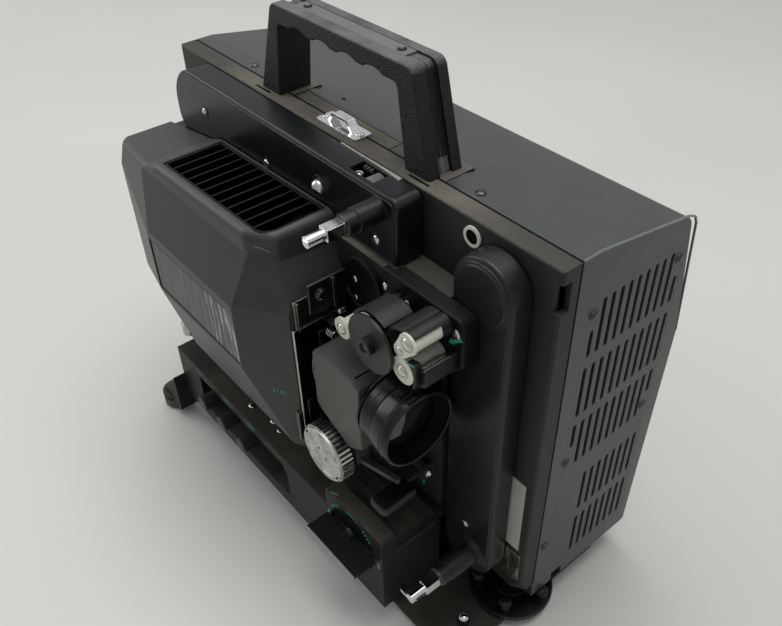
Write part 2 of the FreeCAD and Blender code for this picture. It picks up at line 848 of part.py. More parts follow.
def lamp_cap():
    """Cap round the lamp vent, rolled over along its front and sides."""
    top = drop(lamp_top_drop)
    low = drop(lamp_crease_drop) - 6.0
    plan = [
        (cap_left_x, cap_front_y, 0),
        (cap_facet_x, cap_front_y, cap_radius + 2.0),
        (cap_right_x, cap_facet_y, cap_radius + 2.0),
        (cap_right_x + 2.0, lamp_back_y, 0),
        (cap_left_x, lamp_back_y, 0),
    ]
    section = [
        (cap_left_x, top - cap_left_drop, 0),
        (vent_x0 - 3.0, top, 25.0),
        (lamp_right_x, top, 0),
        (lamp_right_x, low, 0),
        (cap_left_x, low, 0),
    ]
    cap = slab_y(section, lamp_front_y, lamp_back_y).common(slab_z(plan, low, top + 1)).removeSplitter()
    low_edge = top - cap_left_drop - 1.0
    cap = fillet(cap, cap_radius, lambda e: e.BoundBox.ZMax > top - 5.0 and e.BoundBox.ZMin > low_edge
                 and e.BoundBox.YMin < lamp_back_y - 0.5
                 and not (e.BoundBox.XMax < vent_x0 + 5.0 and e.BoundBox.YMax > lamp_back_y - 1.0))
    return tilted(cap)


def make_lamp_house_cover():
    """Faceted cover with a rolled cap, open at the back below the arm."""
    top = drop(lamp_top_drop)
    body = lamp_body(0.0)
    body = fillet(body, lamp_corner_radius, lambda e: e.BoundBox.XMax < roof_break_x
                  and e.BoundBox.ZMin > drop(75.0) and e.BoundBox.YMax < lamp_back_y - 1.0)
    outer = body.fuse(lamp_cap())
    inner = lamp_body(lamp_wall)
    back = box(lamp_left_x + lamp_wall, mech_left_x - mech_wall, lamp_back_y - 2 * lamp_wall, lamp_back_y,
               lamp_bottom_z + lamp_wall, drop(lamp_box_top_drop) - mech_wall)
    shell = outer.cut(inner).cut(back)
    shell = shell.cut(box(mech_left_x - seat_gap, lamp_right_x + 1, mech_front_y - 2 * seat_gap, lamp_back_y + 1,
                          lamp_bottom_z - 1, drop(mech_drop) + seat_gap))
    shell = shell.cut(tilted(slab_z(vent_plan(0.0), drop(lamp_crease_drop + 7.0), top + 5)))
    recess = [
        (recess_x0, recess_z0, 0),
        (recess_x1, recess_z0, 0),
        (recess_x1, recess_z1, 11.0),
        (recess_x0, recess_z1, 0),
    ]
    shell = shell.cut(slab_y(recess, lamp_front_y - 1, lamp_front_y + recess_depth))
    light = rod_x(lens_y, lens_z, 16.0, lamp_right_x - 5, lamp_right_x + 5)
    reach = frame_lever_travel + 2 * seat_gap
    slot = box(lamp_right_x - 6, lamp_right_x + 1, -90.5, -83.5, frame_lever_z0 - reach, frame_lever_z1 + reach)
    screw_hole = rod_z(thumb_x(), thumb_y(), thumb_stem_radius + bearing_gap, lamp_bottom_z - 1,
                       lamp_bottom_z + lamp_wall + 1)
    return shell.cut(light).cut(slot).cut(screw_hole).removeSplitter()


def vent_plan(inset):
    """Opening of the lamp vent, with one corner rounded more."""
    return [
        (vent_x0 + inset, vent_y0 + inset, 2.0),
        (vent_x1 - inset, vent_y0 + inset, vent_corner_radius - inset),
        (vent_x1 - inset, vent_y1 - inset, 2.0),
        (vent_x0 + inset, vent_y1 - inset, 2.0),
    ]


def thumb_x():
    return lamp_left_x + 42.0


def thumb_y():
    return -78.0


def make_lamp_vent_grille():
    """Rim with leaning slats, set into the cap."""
    top = drop(lamp_top_drop) - 0.6
    low = top - 7.0
    rim = slab_z(vent_plan(seat_gap), low, top)
    middle = [(x, y, max(radius, 1.0)) for x, y, radius in vent_plan(2.2)]
    rim = rim.cut(slab_z(middle, low - 1, top + 1))
    span = vent_x1 - vent_x0 - 4.6
    slats = []
    for i in range(1, vent_slats):
        x = vent_x0 + 2.3 + span * i / vent_slats
        lean = [(x - slat_sheet, top, 0), (x, top, 0), (x - 3.0, low, 0), (x - 3.0 - slat_sheet, low, 0)]
        slats.append(slab_y(lean, vent_y0 + 1.5, vent_y1 - 1.5))
    return tilted(rim.fuse(slats).removeSplitter())


def make_lamp_nameplate():
    corners = [
        (recess_x0 + 1.0, recess_z0 + 1.0, 0),
        (recess_x1 - 1.0, recess_z0 + 1.0, 0),
        (recess_x1 - 1.0, recess_z1 - 1.0, 10.0),
        (recess_x0 + 1.0, recess_z1 - 1.0, 0),
    ]
    return slab_y(corners, lamp_front_y + recess_depth - 0.8, lamp_front_y + recess_depth)


def make_lamp_thumbscrew():
    """Ribbed thumbscrew below the lamp house, which holds the cover."""
    x = thumb_x()
    y = thumb_y()
    head = toothed_z(x, y, 12, thumb_radius, 0.8, lamp_bottom_z - 28, lamp_bottom_z - 16)
    collar = rod_z(x, y, thumb_radius - 1, lamp_bottom_z - 16, lamp_bottom_z - seat_gap)
    stem = rod_z(x, y, thumb_stem_radius, lamp_bottom_z - seat_gap, lamp_bottom_z + 8)
    return head.fuse(collar).fuse(stem).removeSplitter()


def make_lamp():
    """Halogen capsule in its dish reflector, aimed along the lens axis."""
    mouth = 22.0
    dish = turned_x([(-24, 9), (-22, 9), (-8, 19), (2, 23), (2, 25), (-9, 21.5), (-24, 11.5)], lens_y, lens_z)
    neck = turned_x([(-36, 0), (-24, 0), (-24, 11.5), (-36, 8)], lens_y, lens_z)
    capsule = turned_x([(-24, 0), (-24, 5), (-10, 5), (-7, 3), (-7, 0)], lens_y, lens_z)
    lamp = dish.fuse(neck).fuse(capsule).removeSplitter()
    lamp.translate(Vector(mouth - 26.0, 0, 0))
    return lamp


def make_lamp_socket():
    body = box(-52.0, -40.2, lens_y - 9, lens_y + 9, lens_z - 10, lens_z + 10)
    stem = box(-52.0, -44.0, lens_y + 9, lamp_back_y - 1.5, lens_z - 6, lens_z + 6)
    foot = box(-60.0, -36.0, lamp_back_y - 1.5, lamp_back_y + 3.0, lens_z - 10, lens_z + 10)
    tie = box(-52.0, -44.0, lamp_back_y + 3.0, face_y, lens_z - 6, lens_z + 6)
    return body.fuse(stem).fuse(foot).fuse(tie).removeSplitter()


def make_mechanism_plate():
    top = drop(plate_top_drop)
    corners = [
        (89.0, top, 3.0),
        (plate_right_x, top, 6.0),
        (plate_right_x, 262.0, 3.0),
        (150.0, 250.0, 3.0),
        (137.0, 239.5, 3.0),
        (104.0, 239.5, 8.0),
        (91.0, 252.0, 6.0),
    ]
    plate = slab_y(corners, plate_front_y, plate_back_y)
    plate = fillet(plate, 1.5, lambda e: at(e, y=plate_front_y))
    plate = plate.cut(rod_y(sprocket_x, drop(sprocket_drop), film_shaft_radius + bearing_gap, plate_front_y - 1,
                            plate_back_y + 1))
    return plate.cut(box(mech_left_x, mech_step_x, mech_front_y, plate_back_y + 1, mech_bottom_z, deck_z))


def make_guard_drum():
    """Ring with a recessed face, where the film loop forms."""
    profile = [
        (mech_front_y, 0),
        (mech_front_y, drum_radius),
        (plate_front_y, drum_radius),
        (plate_front_y, drum_radius - drum_rim),
        (plate_front_y + drum_recess, drum_radius - drum_rim),
        (plate_front_y + drum_recess, 0),
    ]
    return turned_y(profile, drum_x, drop(drum_drop))


def ring_arc(x, z, inner, outer, start, end, y0, y1):
    """Part of a tube about Y, from start to end degrees."""
    def point(radius, degrees):
        turn = math.radians(degrees)
        return Vector(x + radius * math.cos(turn), y0, z + radius * math.sin(turn))
    middle = (start + end) / 2
    edges = [
        Part.Arc(point(outer, start), point(outer, middle), point(outer, end)).toShape(),
        Part.makeLine(point(outer, end), point(inner, end)),
        Part.Arc(point(inner, end), point(inner, middle), point(inner, start)).toShape(),
        Part.makeLine(point(inner, start), point(outer, start)),
    ]
    return Part.Face(Part.Wire(edges)).extrude(Vector(0, y1 - y0, 0))


def make_sprocket_guard():
    """Two curved film hoods, one over the sprocket and one over the keeper roller."""
    x = sprocket_x - 1.5
    z = drop(sprocket_drop)
    outer = hood_radius
    inner = outer - guard_sheet
    first = ring_arc(x, z, inner, outer, 56, 152, film_front_y - 0.5, hood_back_y)
    spigot = ring_arc(x, z, inner - guard_sheet, inner, 105, 150, hood_back_y - 4.0, plate_front_y)
    second = ring_arc(keeper_x - 6.0, drop(58.5), 12.0, 12.0 + guard_sheet, 30, 160, film_front_y, plate_front_y)
    second = second.cut(rod_y(keeper_x, drop(keeper_drop), keeper_radius + seat_gap, film_front_y - 1,
                              plate_front_y + 1))
    return Part.makeCompound([first.fuse(spigot).removeSplitter(), second])


def make_film_shoe():
    """Block beside the lower roller, with a sloping top for the film strip."""
    left = low_roller_x + low_roller_waist + 1.0
    corners = [
        (left, 254.0, 1.5),
        (left + 8.5, 259.0, 1.5),
        (left + 8.5, 272.0, 1.0),
        (left, 267.5, 0),
    ]
    return slab_y(corners, film_front_y + 3.0, plate_front_y)


def make_roller_keeper():
    """White end plate over the keeper roller, with its fixed roller body."""
    z = drop(keeper_drop)
    lobe_x = keeper_x - keeper_lobe_x
    lobe_z = z - keeper_lobe_z
    front = film_front_y - keeper_sheet
    plate = rod_y(keeper_x, z, keeper_radius, front, film_front_y)
    plate = plate.fuse(rod_y(lobe_x, lobe_z, keeper_lobe_radius, front, film_front_y))
    along = Vector(lobe_x - keeper_x, 0, lobe_z - z).normalize()
    side = Vector(-along.z, 0, along.x)
    wide = side * (keeper_radius * 0.97)
    slim = side * (keeper_lobe_radius * 0.97)
    upper = Vector(keeper_x, front, z)
    lower = Vector(lobe_x, front, lobe_z)
    corners = [upper + wide, lower + slim, lower - slim, upper - wide]
    web = Part.Face(Part.makePolygon(corners + [corners[0]])).extrude(Vector(0, keeper_sheet, 0))
    body = rod_y(keeper_x, z, keeper_radius - 0.8, film_front_y, plate_front_y)
    return plate.fuse(web).fuse(body).removeSplitter()


def make_roller(x, z, radius, waist):
    """Film roller with a front flange, turned on its own pin."""
    front = film_front_y - 1.0
    back = plate_front_y - seat_gap
    bore = roller_pin_radius + bearing_gap
    profile = [
        (front, bore), (front, radius), (front + 2.0, radius), (front + 2.6, waist),
        (back - 1.5, waist), (back - 1.5, waist + 0.8), (back, waist + 0.8), (back, bore),
    ]
    return turned_y(profile, x, z)


def make_roller_pins():
    """Headed pins of the two rollers, and the loop lever's pin."""
    pins = []
    for x, z in ((low_roller_x, drop(low_roller_drop)), (small_roller_x, drop(small_roller_drop))):
        seat = film_front_y - 1.0 - seat_gap
        pin = rod_y(x, z, roller_pin_radius, seat, plate_front_y)
        head = pan_head(Vector(x, seat, z), Vector(0, -1, 0), roller_pin_radius + 1.6)
        pins.append(pin.fuse(head).removeSplitter())
    middle = lever_hub_middle()
    half = lever_hub_half + fit_gap + lever_ear_sheet
    pins.append(rod_x(lever_pin_y(), lever_z, lever_pin_radius, middle - half, middle + half))
    return Part.makeCompound(pins)


def make_sprocket():
    """Film sprocket with two rows of teeth, its guard disc and shaft."""
    z = drop(sprocket_drop)
    profile = [
        (guard_front_y - 4.0, 2.6), (guard_front_y - 4.0, 5.6), (guard_front_y, 5.6),
        (guard_front_y, guard_radius), (guard_front_y + 1.8, guard_radius), (guard_front_y + 1.8, 7.0),
        (film_front_y + 2.0, 7.0), (film_front_y + 2.0, sprocket_radius), (film_front_y + 5.0, sprocket_radius),
        (film_front_y + 5.0, sprocket_radius - 2.5), (-57.0, sprocket_radius - 2.5), (-57.0, sprocket_radius),
        (-54.0, sprocket_radius), (-54.0, 7.0), (plate_front_y - 0.5, 7.0),
        (plate_front_y - 0.5, film_shaft_radius), (mech_step_y + 12.0, film_shaft_radius),
        (mech_step_y + 12.0, 0), (guard_front_y - 2.5, 0), (guard_front_y - 2.5, 2.6),
    ]
    wheel = turned_y(profile, sprocket_x, z)
    teeth = []
    for i in range(sprocket_teeth):
        degrees = 360.0 * i / sprocket_teeth
        for y in (film_front_y + 3.5, -55.5):
            base = sprocket_radius - 0.3
            corners = [Vector(sprocket_x + base, y - 0.7, z - 0.9), Vector(sprocket_x + base, y + 0.7, z - 0.9),
                       Vector(sprocket_x + base, y + 0.7, z + 0.9), Vector(sprocket_x + base, y - 0.7, z + 0.9)]
            face = Part.Face(Part.makePolygon(corners + [corners[0]]))
            tooth = face.extrude(Vector(1.7, 0, 0))
            tooth.rotate(Vector(sprocket_x, y, z), Vector(0, 1, 0), degrees)
            teeth.append(tooth)
    return wheel.fuse(teeth)


def make_aperture_plate():
    plate = box(gate_x, gate_x + gate_sheet, gate_front_y, mech_front_y, drop(gate_bottom_drop),
                drop(gate_top_drop))
    hole = box(gate_x - 1, gate_x + gate_sheet + 1, lens_y - aperture_width / 2, lens_y + aperture_width / 2,
               lens_z - aperture_height / 2, lens_z + aperture_height / 2)
    return plate.cut(hole)


def make_film_guides():
    """Polished guides: the channels above and below the gate, the bracket and the shoe's strip."""
    x0 = gate_x + gate_sheet
    top = drop(gate_top_drop)
    lip_x = knob_x - knob_radius - fit_gap
    upper = box(gate_x, gate_x + 1.2, -84.5, mech_front_y, top, drop(73.5))
    upper = upper.fuse(box(gate_x + 1.2, gate_x + 4.0, -84.5, -83.2, top, drop(73.5)))
    lower = box(x0, x0 + 1.0, -84.0, mech_front_y, drop(205), drop(160))
    lower = lower.fuse(box(x0, lip_x, -84.0, -82.8, drop(205), drop(160)))
    lower = lower.fuse(box(x0, lip_x, -75.2, -74.0, drop(205), drop(160)))
    x = gate_x + 1.2
    bracket = box(x, x + 1.6, -74.0, mech_front_y, top + 8.0, drop(65))
    bracket = bracket.fuse(box(x + 1.6, x + 5.0, -57.0, -55.4, top + 8.0, drop(65)))
    bracket = bracket.fuse(rod_x(-65.0, drop(75), 4.0, x + 1.6, x + 3.0))
    drum = rod_y(drum_x, drop(drum_drop), drum_radius, plate_front_y, mech_front_y)
    left = low_roller_x + low_roller_waist + 1.0
    strip = slab_y([(left, 267.5, 0), (left + 8.5, 272.0, 0), (left + 8.1, 273.0, 0), (left - 0.4, 268.5, 0)],
                   film_front_y + 2.0, -50.0)
    return Part.makeCompound([upper.cut(drum).removeSplitter(), lower.removeSplitter(),
                              bracket.cut(drum).removeSplitter(), strip])


def make_pressure_plate():
    """Sprung shoe that holds the film flat against the aperture plate."""
    x0 = gate_x + gate_sheet + fit_gap
    reach = lens_tube_radius + 6.5
    shoe = box(x0, x0 + 2.0, lens_y - 8.0, lens_y + 8.0, lens_z - reach, lens_z + reach)
    shoe = shoe.cut(box(x0 - 1, x0 + 3, lens_y - aperture_width / 2 - 0.5, lens_y + aperture_width / 2 + 0.5,
                        lens_z - aperture_height / 2 - 0.5, lens_z + aperture_height / 2 + 0.5))
    for side in (-1, 1):
        shoe = shoe.fuse(rod_x(lens_y, lens_z + side * (lens_tube_radius + 3.6), 2.2, x0 + 2.0, carrier_x0))
    return shoe.removeSplitter()


def make_lens_carrier():
    """Block that holds the lens, with a strap below it."""
    y0 = lens_y - carrier_half_depth
    y1 = mech_front_y - fit_gap
    z0 = lens_z - carrier_half_height
    z1 = lens_z + carrier_half_height
    corners = [
        (carrier_x0, z0 + 1, 2.0),
        (carrier_x0 + 6, z0 - 4, 4.0),
        (carrier_x1 - 14, z0 - 17, 3.0),
        (carrier_x1, z0 - 8, 2.0),
        (carrier_x1, z1 - 3, 1.0),
        (carrier_x1 - 6, z1, 0),
        (carrier_x0 + 3, z1, 1.5),
        (carrier_x0, z1 - 4, 0),
    ]
    block = slab_y(corners, y0, y1)
    block = fillet(block, 1.2, lambda e: at(e, y=y0))
    block = block.cut(rod_x(lens_y, lens_z, lens_tube_radius + bearing_gap, carrier_x0 - 10, carrier_x1 + 5))
    block = block.cut(box(carrier_x1 - 8.5, carrier_x1 - 6.5, y0 + 4, y1 + 1, z1 - 3, z1 + 1))
    strap_z = z0 - 39.0
    leg = box(carrier_x1 - 26, carrier_x1 - 14, y0 + 6, y0 + 16, strap_z, z0 - 12)
    strap = slab_z([(83.0, -78.5, 1.5), (129.0, -67.5, 1.5), (127.5, -63.5, 1.5), (82.0, -74.5, 1.5)],
                   strap_z, strap_z + 4.0)
    return block.fuse(leg).fuse(strap).removeSplitter()


def make_lens_barrel():
    front = lens_front_x
    face = carrier_x1 + 0.6
    profile = [
        (lens_rear_x, lens_tube_radius - 3.0), (lens_rear_x, lens_tube_radius),
        (face, lens_tube_radius), (face, lens_collar_radius), (face + 2.0, lens_collar_radius),
        (face + 2.0, lens_collar_radius - 1.2), (face + 4.0, lens_collar_radius - 1.2),
        (face + 4.0, lens_collar_radius + 0.6), (face + 14.0, lens_collar_radius + 1.2),
        (face + 14.6, lens_collar_radius + 0.4), (face + 15.6, lens_collar_radius + 2.4),
        (front - 7.0, lens_front_radius), (front - 6.0, lens_front_radius - 0.8),
        (front - 5.4, lens_front_radius), (front - 0.8, lens_front_radius),
        (front, lens_front_radius - 0.8), (front, lens_front_radius - 2.6),
        (front - 9.0, glass_radius), (front - 14.3, glass_radius), (front - 14.3, lens_tube_radius - 3.0),
    ]
    return turned_x(profile, lens_y, lens_z)


def make_lens_glass():
    """Front element, flat behind and domed in front."""
    front = lens_front_x - 9.5
    sphere = Part.makeSphere(glass_curve, Vector(front - glass_curve, lens_y, lens_z))
    return sphere.common(rod_x(lens_y, lens_z, glass_radius, front - 4.8, front + 1))


def make_inching_knob():
    """Hollow knurled knob that turns the film drive by hand."""
    back = knob_front_y + knob_depth
    rim = toothed_y(knob_x, knob_z, knob_flutes, knob_radius, 0.8, knob_front_y + 1.5, back)
    lip = Part.makeCone(knob_radius - 0.9, knob_radius - 2.0, 1.5, Vector(knob_x, knob_front_y + 1.5, knob_z),
                        Vector(0, -1, 0))
    knob = rim.fuse(lip)
    face = [(knob_front_y - 1, 0), (knob_front_y - 1, knob_radius - 4.5), (knob_front_y + 1.2, knob_radius - 4.5),
            (knob_front_y + 1.2, 7.4), (knob_front_y + 2.0, 7.0), (knob_front_y + 2.0, 0)]
    cup = [(back - 4.0, 9.0), (back - 4.0, knob_radius - 3.0), (back + 1, knob_radius - 3.0), (back + 1, 9.0)]
    return knob.cut(turned_y(face, knob_x, knob_z)).cut(turned_y(cup, knob_x, knob_z)).removeSplitter()


def make_main_shaft():
    start = knob_front_y + knob_depth
    half = pulley_width / 2
    profile = [
        (start, 0), (start, shaft_radius), (pulley_y - half - 4, shaft_radius), (pulley_y - half - 4, 8.0),
        (pulley_y - half, 8.0), (pulley_y - half, main_pulley_radius), (pulley_y - 1.5, main_pulley_radius - 1.5),
        (pulley_y + 1.5, main_pulley_radius - 1.5), (pulley_y + half, main_pulley_radius),
        (pulley_y + half, 8.0), (pulley_y + half + 3, 8.0), (pulley_y + half + 3, 0),
    ]
    return turned_y(profile, knob_x, knob_z)


def make_shutter():
    """Three-blade shutter disc on its short shaft, between the lamp and the gate."""
    y = shutter_y
    z = shutter_z
    x = shutter_x
    disc = rod_x(y, z, shutter_radius, x, x + shutter_sheet)
    for i in range(3):
        gap = box(x - 1, x + 3, y - 7.0, y + 7.0, z + 14.0, z + shutter_radius + 3)
        gap.rotate(Vector(x, y, z), Vector(1, 0, 0), 53 + 120.0 * i)
        disc = disc.cut(gap)
    hub = rod_x(y, z, film_shaft_radius + 4.0, x - 3.0, x)
    spacer = rod_x(y, z, film_shaft_radius + 2.0, x + shutter_sheet, mech_left_x - seat_gap)
    shaft = rod_x(y, z, film_shaft_radius, mech_left_x - seat_gap, lamp_right_x - lamp_wall - fit_gap)
    return disc.fuse(hub).fuse(spacer).fuse(shaft).removeSplitter()


def arm_shell(corners, front_y, pivot, spindle, boss_end):
    """Hollow arm with a raised face, open to the frame, with a pivot hub and a spindle bearing."""
    rim_y = front_y + arm_rim_step
    outer = slab_y(corners, rim_y, arm_back_y)
    outer = fillet(outer, arm_rim - 0.5, lambda e: at(e, y=rim_y))
    wire = outline(corners, lambda x, z: Vector(x, front_y, z))
    outer = outer.fuse(Part.Face(wire.makeOffset2D(-arm_rim)).extrude(Vector(0, arm_rim_step + 1.0, 0)))
    wire.translate(Vector(0, arm_wall, 0))
    inside = Part.Face(wire.makeOffset2D(-arm_wall)).extrude(Vector(0, arm_back_y - front_y, 0))
    shell = outer.cut(inside)
    hub = rod_y(pivot[0], pivot[1], pivot_radius + 3.5, front_y + arm_wall, arm_back_y)
    hub = hub.cut(rod_y(pivot[0], pivot[1], pivot_radius + bearing_gap, front_y + arm_wall, arm_back_y + 1))
    bearing = rod_y(spindle[0], spindle[1], arm_boss_radius - 0.8, boss_end, arm_back_y - 3.0)
    step = rod_y(spindle[0], spindle[1], arm_boss_radius, boss_end + 8.0, front_y + 1.0)
    shell = shell.fuse(hub).fuse(bearing).fuse(step)
    bore = rod_y(spindle[0], spindle[1], spindle_radius + bearing_gap, boss_end - 1, arm_back_y + 1)
    return shell.cut(bore).removeSplitter()


def make_take_up_arm():
    z = drop(take_up_pivot_drop)
    radius = take_up_hub_radius
    corners = [
        (take_up_pivot_x - radius, z + radius, radius - 0.5),
        (take_up_tip_x, z + radius, 7.0),
        (take_up_tip_x, drop(take_up_tip_drop), 3.0),
        (mech_left_x - 2, drop(take_up_tip_drop), 6.0),
        (take_up_pivot_x, z - radius, 14.0),
        (take_up_pivot_x - radius, z - radius * 0.9, radius * 0.7),
    ]
    arm = arm_shell(corners, take_up_front_y, (take_up_pivot_x, z),
                    (take_up_spindle_x, drop(take_up_spindle_drop)), take_up_boss_end_y)
    notch = box(take_up_spindle_x - 34, take_up_spindle_x - 10, take_up_front_y + 5, arm_back_y - 3,
                z + radius - 4, z + radius + 1)
    return arm.cut(notch).removeSplitter()


def make_feed_arm():
    z = drop(feed_pivot_drop)
    wide = feed_half_width
    left = feed_pivot_x - wide
    right = feed_pivot_x + wide
    corners = [
        (left, z + wide, wide - 0.5),
        (right, z + wide, wide - 0.5),
        (right, feed_tip_z - wide, wide - 0.5),
        (left, feed_tip_z - wide, wide - 0.5),
    ]
    face = feed_front_y + feed_disc_step
    arm = arm_shell(corners, face, (feed_pivot_x, z), (feed_spindle_x, feed_spindle_z), feed_boss_end_y)
    disc = turned_y([(face + 1.0, 0), (face + 1.0, feed_disc_radius), (face - 0.3, feed_disc_radius),
                     (face - 0.3, feed_disc_radius - 1.4), (feed_front_y, feed_disc_radius - 2.0),
                     (feed_front_y, 0)], feed_pivot_x, z)
    inner = arm_boss_radius - 1.5
    rings = turned_y([(face + 1.0, inner), (face + 1.0, feed_ring_radius), (face - 0.9, feed_ring_radius),
                      (face - 0.9, feed_ring_radius - 1.5), (face - 1.8, feed_ring_radius - 1.8),
                      (face - 1.8, feed_ring_radius - 3.4), (face - 2.7, feed_ring_radius - 3.7),
                      (face - 2.7, inner)], feed_spindle_x, feed_spindle_z)
    return arm.fuse(disc).fuse(rings).removeSplitter()


def make_arm_pivots():
    """Studs fixed in the frame that the two arms turn on."""
    studs = []
    for x, z, front in ((take_up_pivot_x, drop(take_up_pivot_drop), take_up_front_y),
                        (feed_pivot_x, drop(feed_pivot_drop), feed_front_y + feed_disc_step)):
        studs.append(rod_y(x, z, pivot_radius, front + arm_wall + seat_gap, face_y))
    return Part.makeCompound(studs)


def make_arm_screws():
    """Screws in the face of the take-up arm and the feed arm's cover."""
    out = Vector(0, -1, 0)
    take_up = [
        (Vector(-128.5, take_up_front_y, drop(25.6)), 3.2),
        (Vector(-46.0, take_up_front_y, drop(34.0)), 3.2),
        (Vector(19.0, take_up_front_y, drop(24.0)), 5.5),
        (Vector(75.0, take_up_front_y, drop(35.0)), 3.2),
    ]
    return Part.makeCompound([pan_head(centre, out, radius) for centre, radius in take_up])


def make_spindle(x, z, boss_end):
    """Reel spindle: round shaft, square drive and a forked tip."""
    square_end = boss_end - fit_gap - spindle_square_length
    tip_end = square_end - spindle_tip_length
    half = spindle_square / 2
    shaft = rod_y(x, z, spindle_radius, boss_end - fit_gap, arm_back_y - 1.0)
    square = box(x - half, x + half, square_end, boss_end - fit_gap, z - half, z + half)
    tip = rod_y(x, z, half - 0.3, tip_end, square_end)
    fork = box(x - half, x + half, tip_end - 1, square_end - 1.5, z - latch_sheet / 2 - latch_gap,
               z + latch_sheet / 2 + latch_gap)
    pin = rod_z(x, tip_end + latch_pin_back, latch_pin_radius, z - half + 1.0, z + half - 1.0)
    return shaft.fuse(square).fuse(tip).cut(fork).fuse(pin).removeSplitter()


def latch_bore(x, z, tip_end):
    """Hole in a latch for the pin across its spindle's slot."""
    return rod_z(x, tip_end + latch_pin_back, latch_pin_radius + bearing_gap, z - latch_sheet, z + latch_sheet)


def make_take_up_latch():
    """Tip latch lying in line with its spindle."""
    x = take_up_spindle_x
    z = drop(take_up_spindle_drop)
    tip_end = take_up_boss_end_y - fit_gap - spindle_square_length - spindle_tip_length
    half = latch_sheet / 2
    latch = slab_z([(x - 2.6, tip_end - 0.8, 1.2), (x + 2.6, tip_end - 0.8, 1.2),
                    (x + 2.6, tip_end + latch_length - 0.8, 0), (x - 2.6, tip_end + latch_length - 0.8, 0)],
                   z - half, z + half)
    return latch.cut(latch_bore(x, z, tip_end))


def make_feed_latch():
    """Tip latch turned out across its spindle."""
    x = feed_spindle_x
    z = feed_spindle_z
    tip_end = feed_boss_end_y - fit_gap - spindle_square_length - spindle_tip_length
    half = latch_sheet / 2
    latch = slab_z([(x - latch_length, tip_end - 0.6, 2.4), (x + 2.6, tip_end - 0.6, 1.0),
                    (x + 2.6, tip_end + 4.6, 1.0), (x - latch_length, tip_end + 4.6, 2.4)],
                   z - half, z + half)
    return latch.cut(latch_bore(x, z, tip_end))


def make_base_beam():
    solid = box(base_left_x, base_right_x, base_front_y, face_y, base_bottom_z, base_top_z)
    raised = slab_y([(selector_left_x, base_bottom_z, 0), (base_right_x, base_bottom_z, 0),
                     (base_right_x, selector_top_z, 6.0), (selector_left_x, selector_top_z, 3.0)],
                    base_front_y, selector_back_y)
    shelf = box(selector_left_x, base_right_x - 2, selector_back_y, shelf_back_y, base_top_z,
                selector_top_z - shelf_drop)
    for rib_y in (selector_back_y + 12.0, selector_back_y + 24.0):
        shelf = shelf.fuse(box(selector_left_x, base_right_x - 2, rib_y, rib_y + 2.0,
                               selector_top_z - shelf_drop, selector_top_z - shelf_drop + 1.2))
    solid = solid.fuse(raised).fuse(shelf)
    hollow = box(base_left_x + base_wall, base_right_x - base_wall, base_front_y + base_wall,
                 face_y - base_wall, base_bottom_z - 1, base_top_z - base_wall)
    hollow = hollow.fuse(box(selector_left_x + base_wall, base_right_x - base_wall - 2, base_front_y + base_wall,
                             shelf_back_y - base_wall, base_bottom_z, selector_top_z - shelf_drop - base_wall))
    panel = box(panel_x0, panel_x1, base_front_y - 1, base_front_y + panel_depth, panel_z0, panel_z1)
    corner = slab_y([(panel_x1 - 6, panel_z1 + 1, 0), (panel_x1 + 1, panel_z1 + 1, 0),
                     (panel_x1 + 1, panel_z1 - 12, 0)], base_front_y - 2, base_front_y + panel_depth + 1)
    panel = panel.cut(corner)
    panel_tray = box(panel_x0 - 2.5, panel_x1 + 2.5, base_front_y, base_front_y + panel_depth + 2.5,
                     panel_z0 - 2.5, panel_z1 + 2.5)
    dial_cup = rod_y(dial_x, dial_z, dial_radius + 3.0, base_front_y, base_front_y + dial_depth + 3.0)
    dial = rod_y(dial_x, dial_z, dial_radius, base_front_y - 1, base_front_y + dial_depth)
    beam = solid.cut(hollow).fuse(panel_tray).fuse(dial_cup).cut(panel).cut(dial)
    beam = beam.cut(rod_y(dial_x, dial_z, 4.0 + bearing_gap, base_front_y, base_front_y + 20))
    for i in range(3):
        x = control_first_x + i * control_pitch
        beam = beam.cut(rod_y(x, control_z, 3.0 + bearing_gap, base_front_y, base_front_y + panel_depth + 5))
    ear = slab_y([(base_left_x, base_bottom_z + 26, 0), (rear_foot_x - 4, foot_height + 9, 0),
                  (rear_foot_x - 12, foot_height, 0), (base_left_x, foot_height, 0)], rear_foot_y - 9, rear_foot_y + 11)
    pad = rod_z(rear_foot_x, rear_foot_y, foot_radius, foot_height, foot_height + 5)
    boss = rod_z(rear_foot_x, rear_foot_y, 5.0, foot_height, foot_height + 11)
    beam = beam.fuse(ear).fuse(pad).fuse(boss)
    arm_room = box(feed_pivot_x - feed_half_width - 3.0, base_right_x + 1, feed_front_y - 3.0, face_y + 1,
                   base_bottom_z - 1, selector_top_z)
    beam = beam.cut(arm_room)
    return beam.removeSplitter()


def make_rear_feet():
    feet = []
    for y, top in ((rear_foot_y, foot_height), (back_foot_y, foot_height)):
        profile = [(0, 0), (0, foot_radius - 2.0), (2.0, foot_radius), (top - 1.0, foot_radius),
                   (top, foot_radius - 1.0), (top, 0)]
        feet.append(turned_z(profile, rear_foot_x, y))
    spacer = rod_z(rear_foot_x, back_foot_y, 9.0, foot_height, housing_bottom_z)
    feet[1] = feet[1].fuse(spacer).removeSplitter()
    return Part.makeCompound(feet)


def make_bottom_pan():
    """Sheet that closes the base beam from below."""
    return box(base_left_x + base_wall + 0.2, base_right_x - base_wall - 0.2, base_front_y + base_wall + 0.2,
               face_y - base_wall - 0.2, base_bottom_z, base_bottom_z + 1.5)


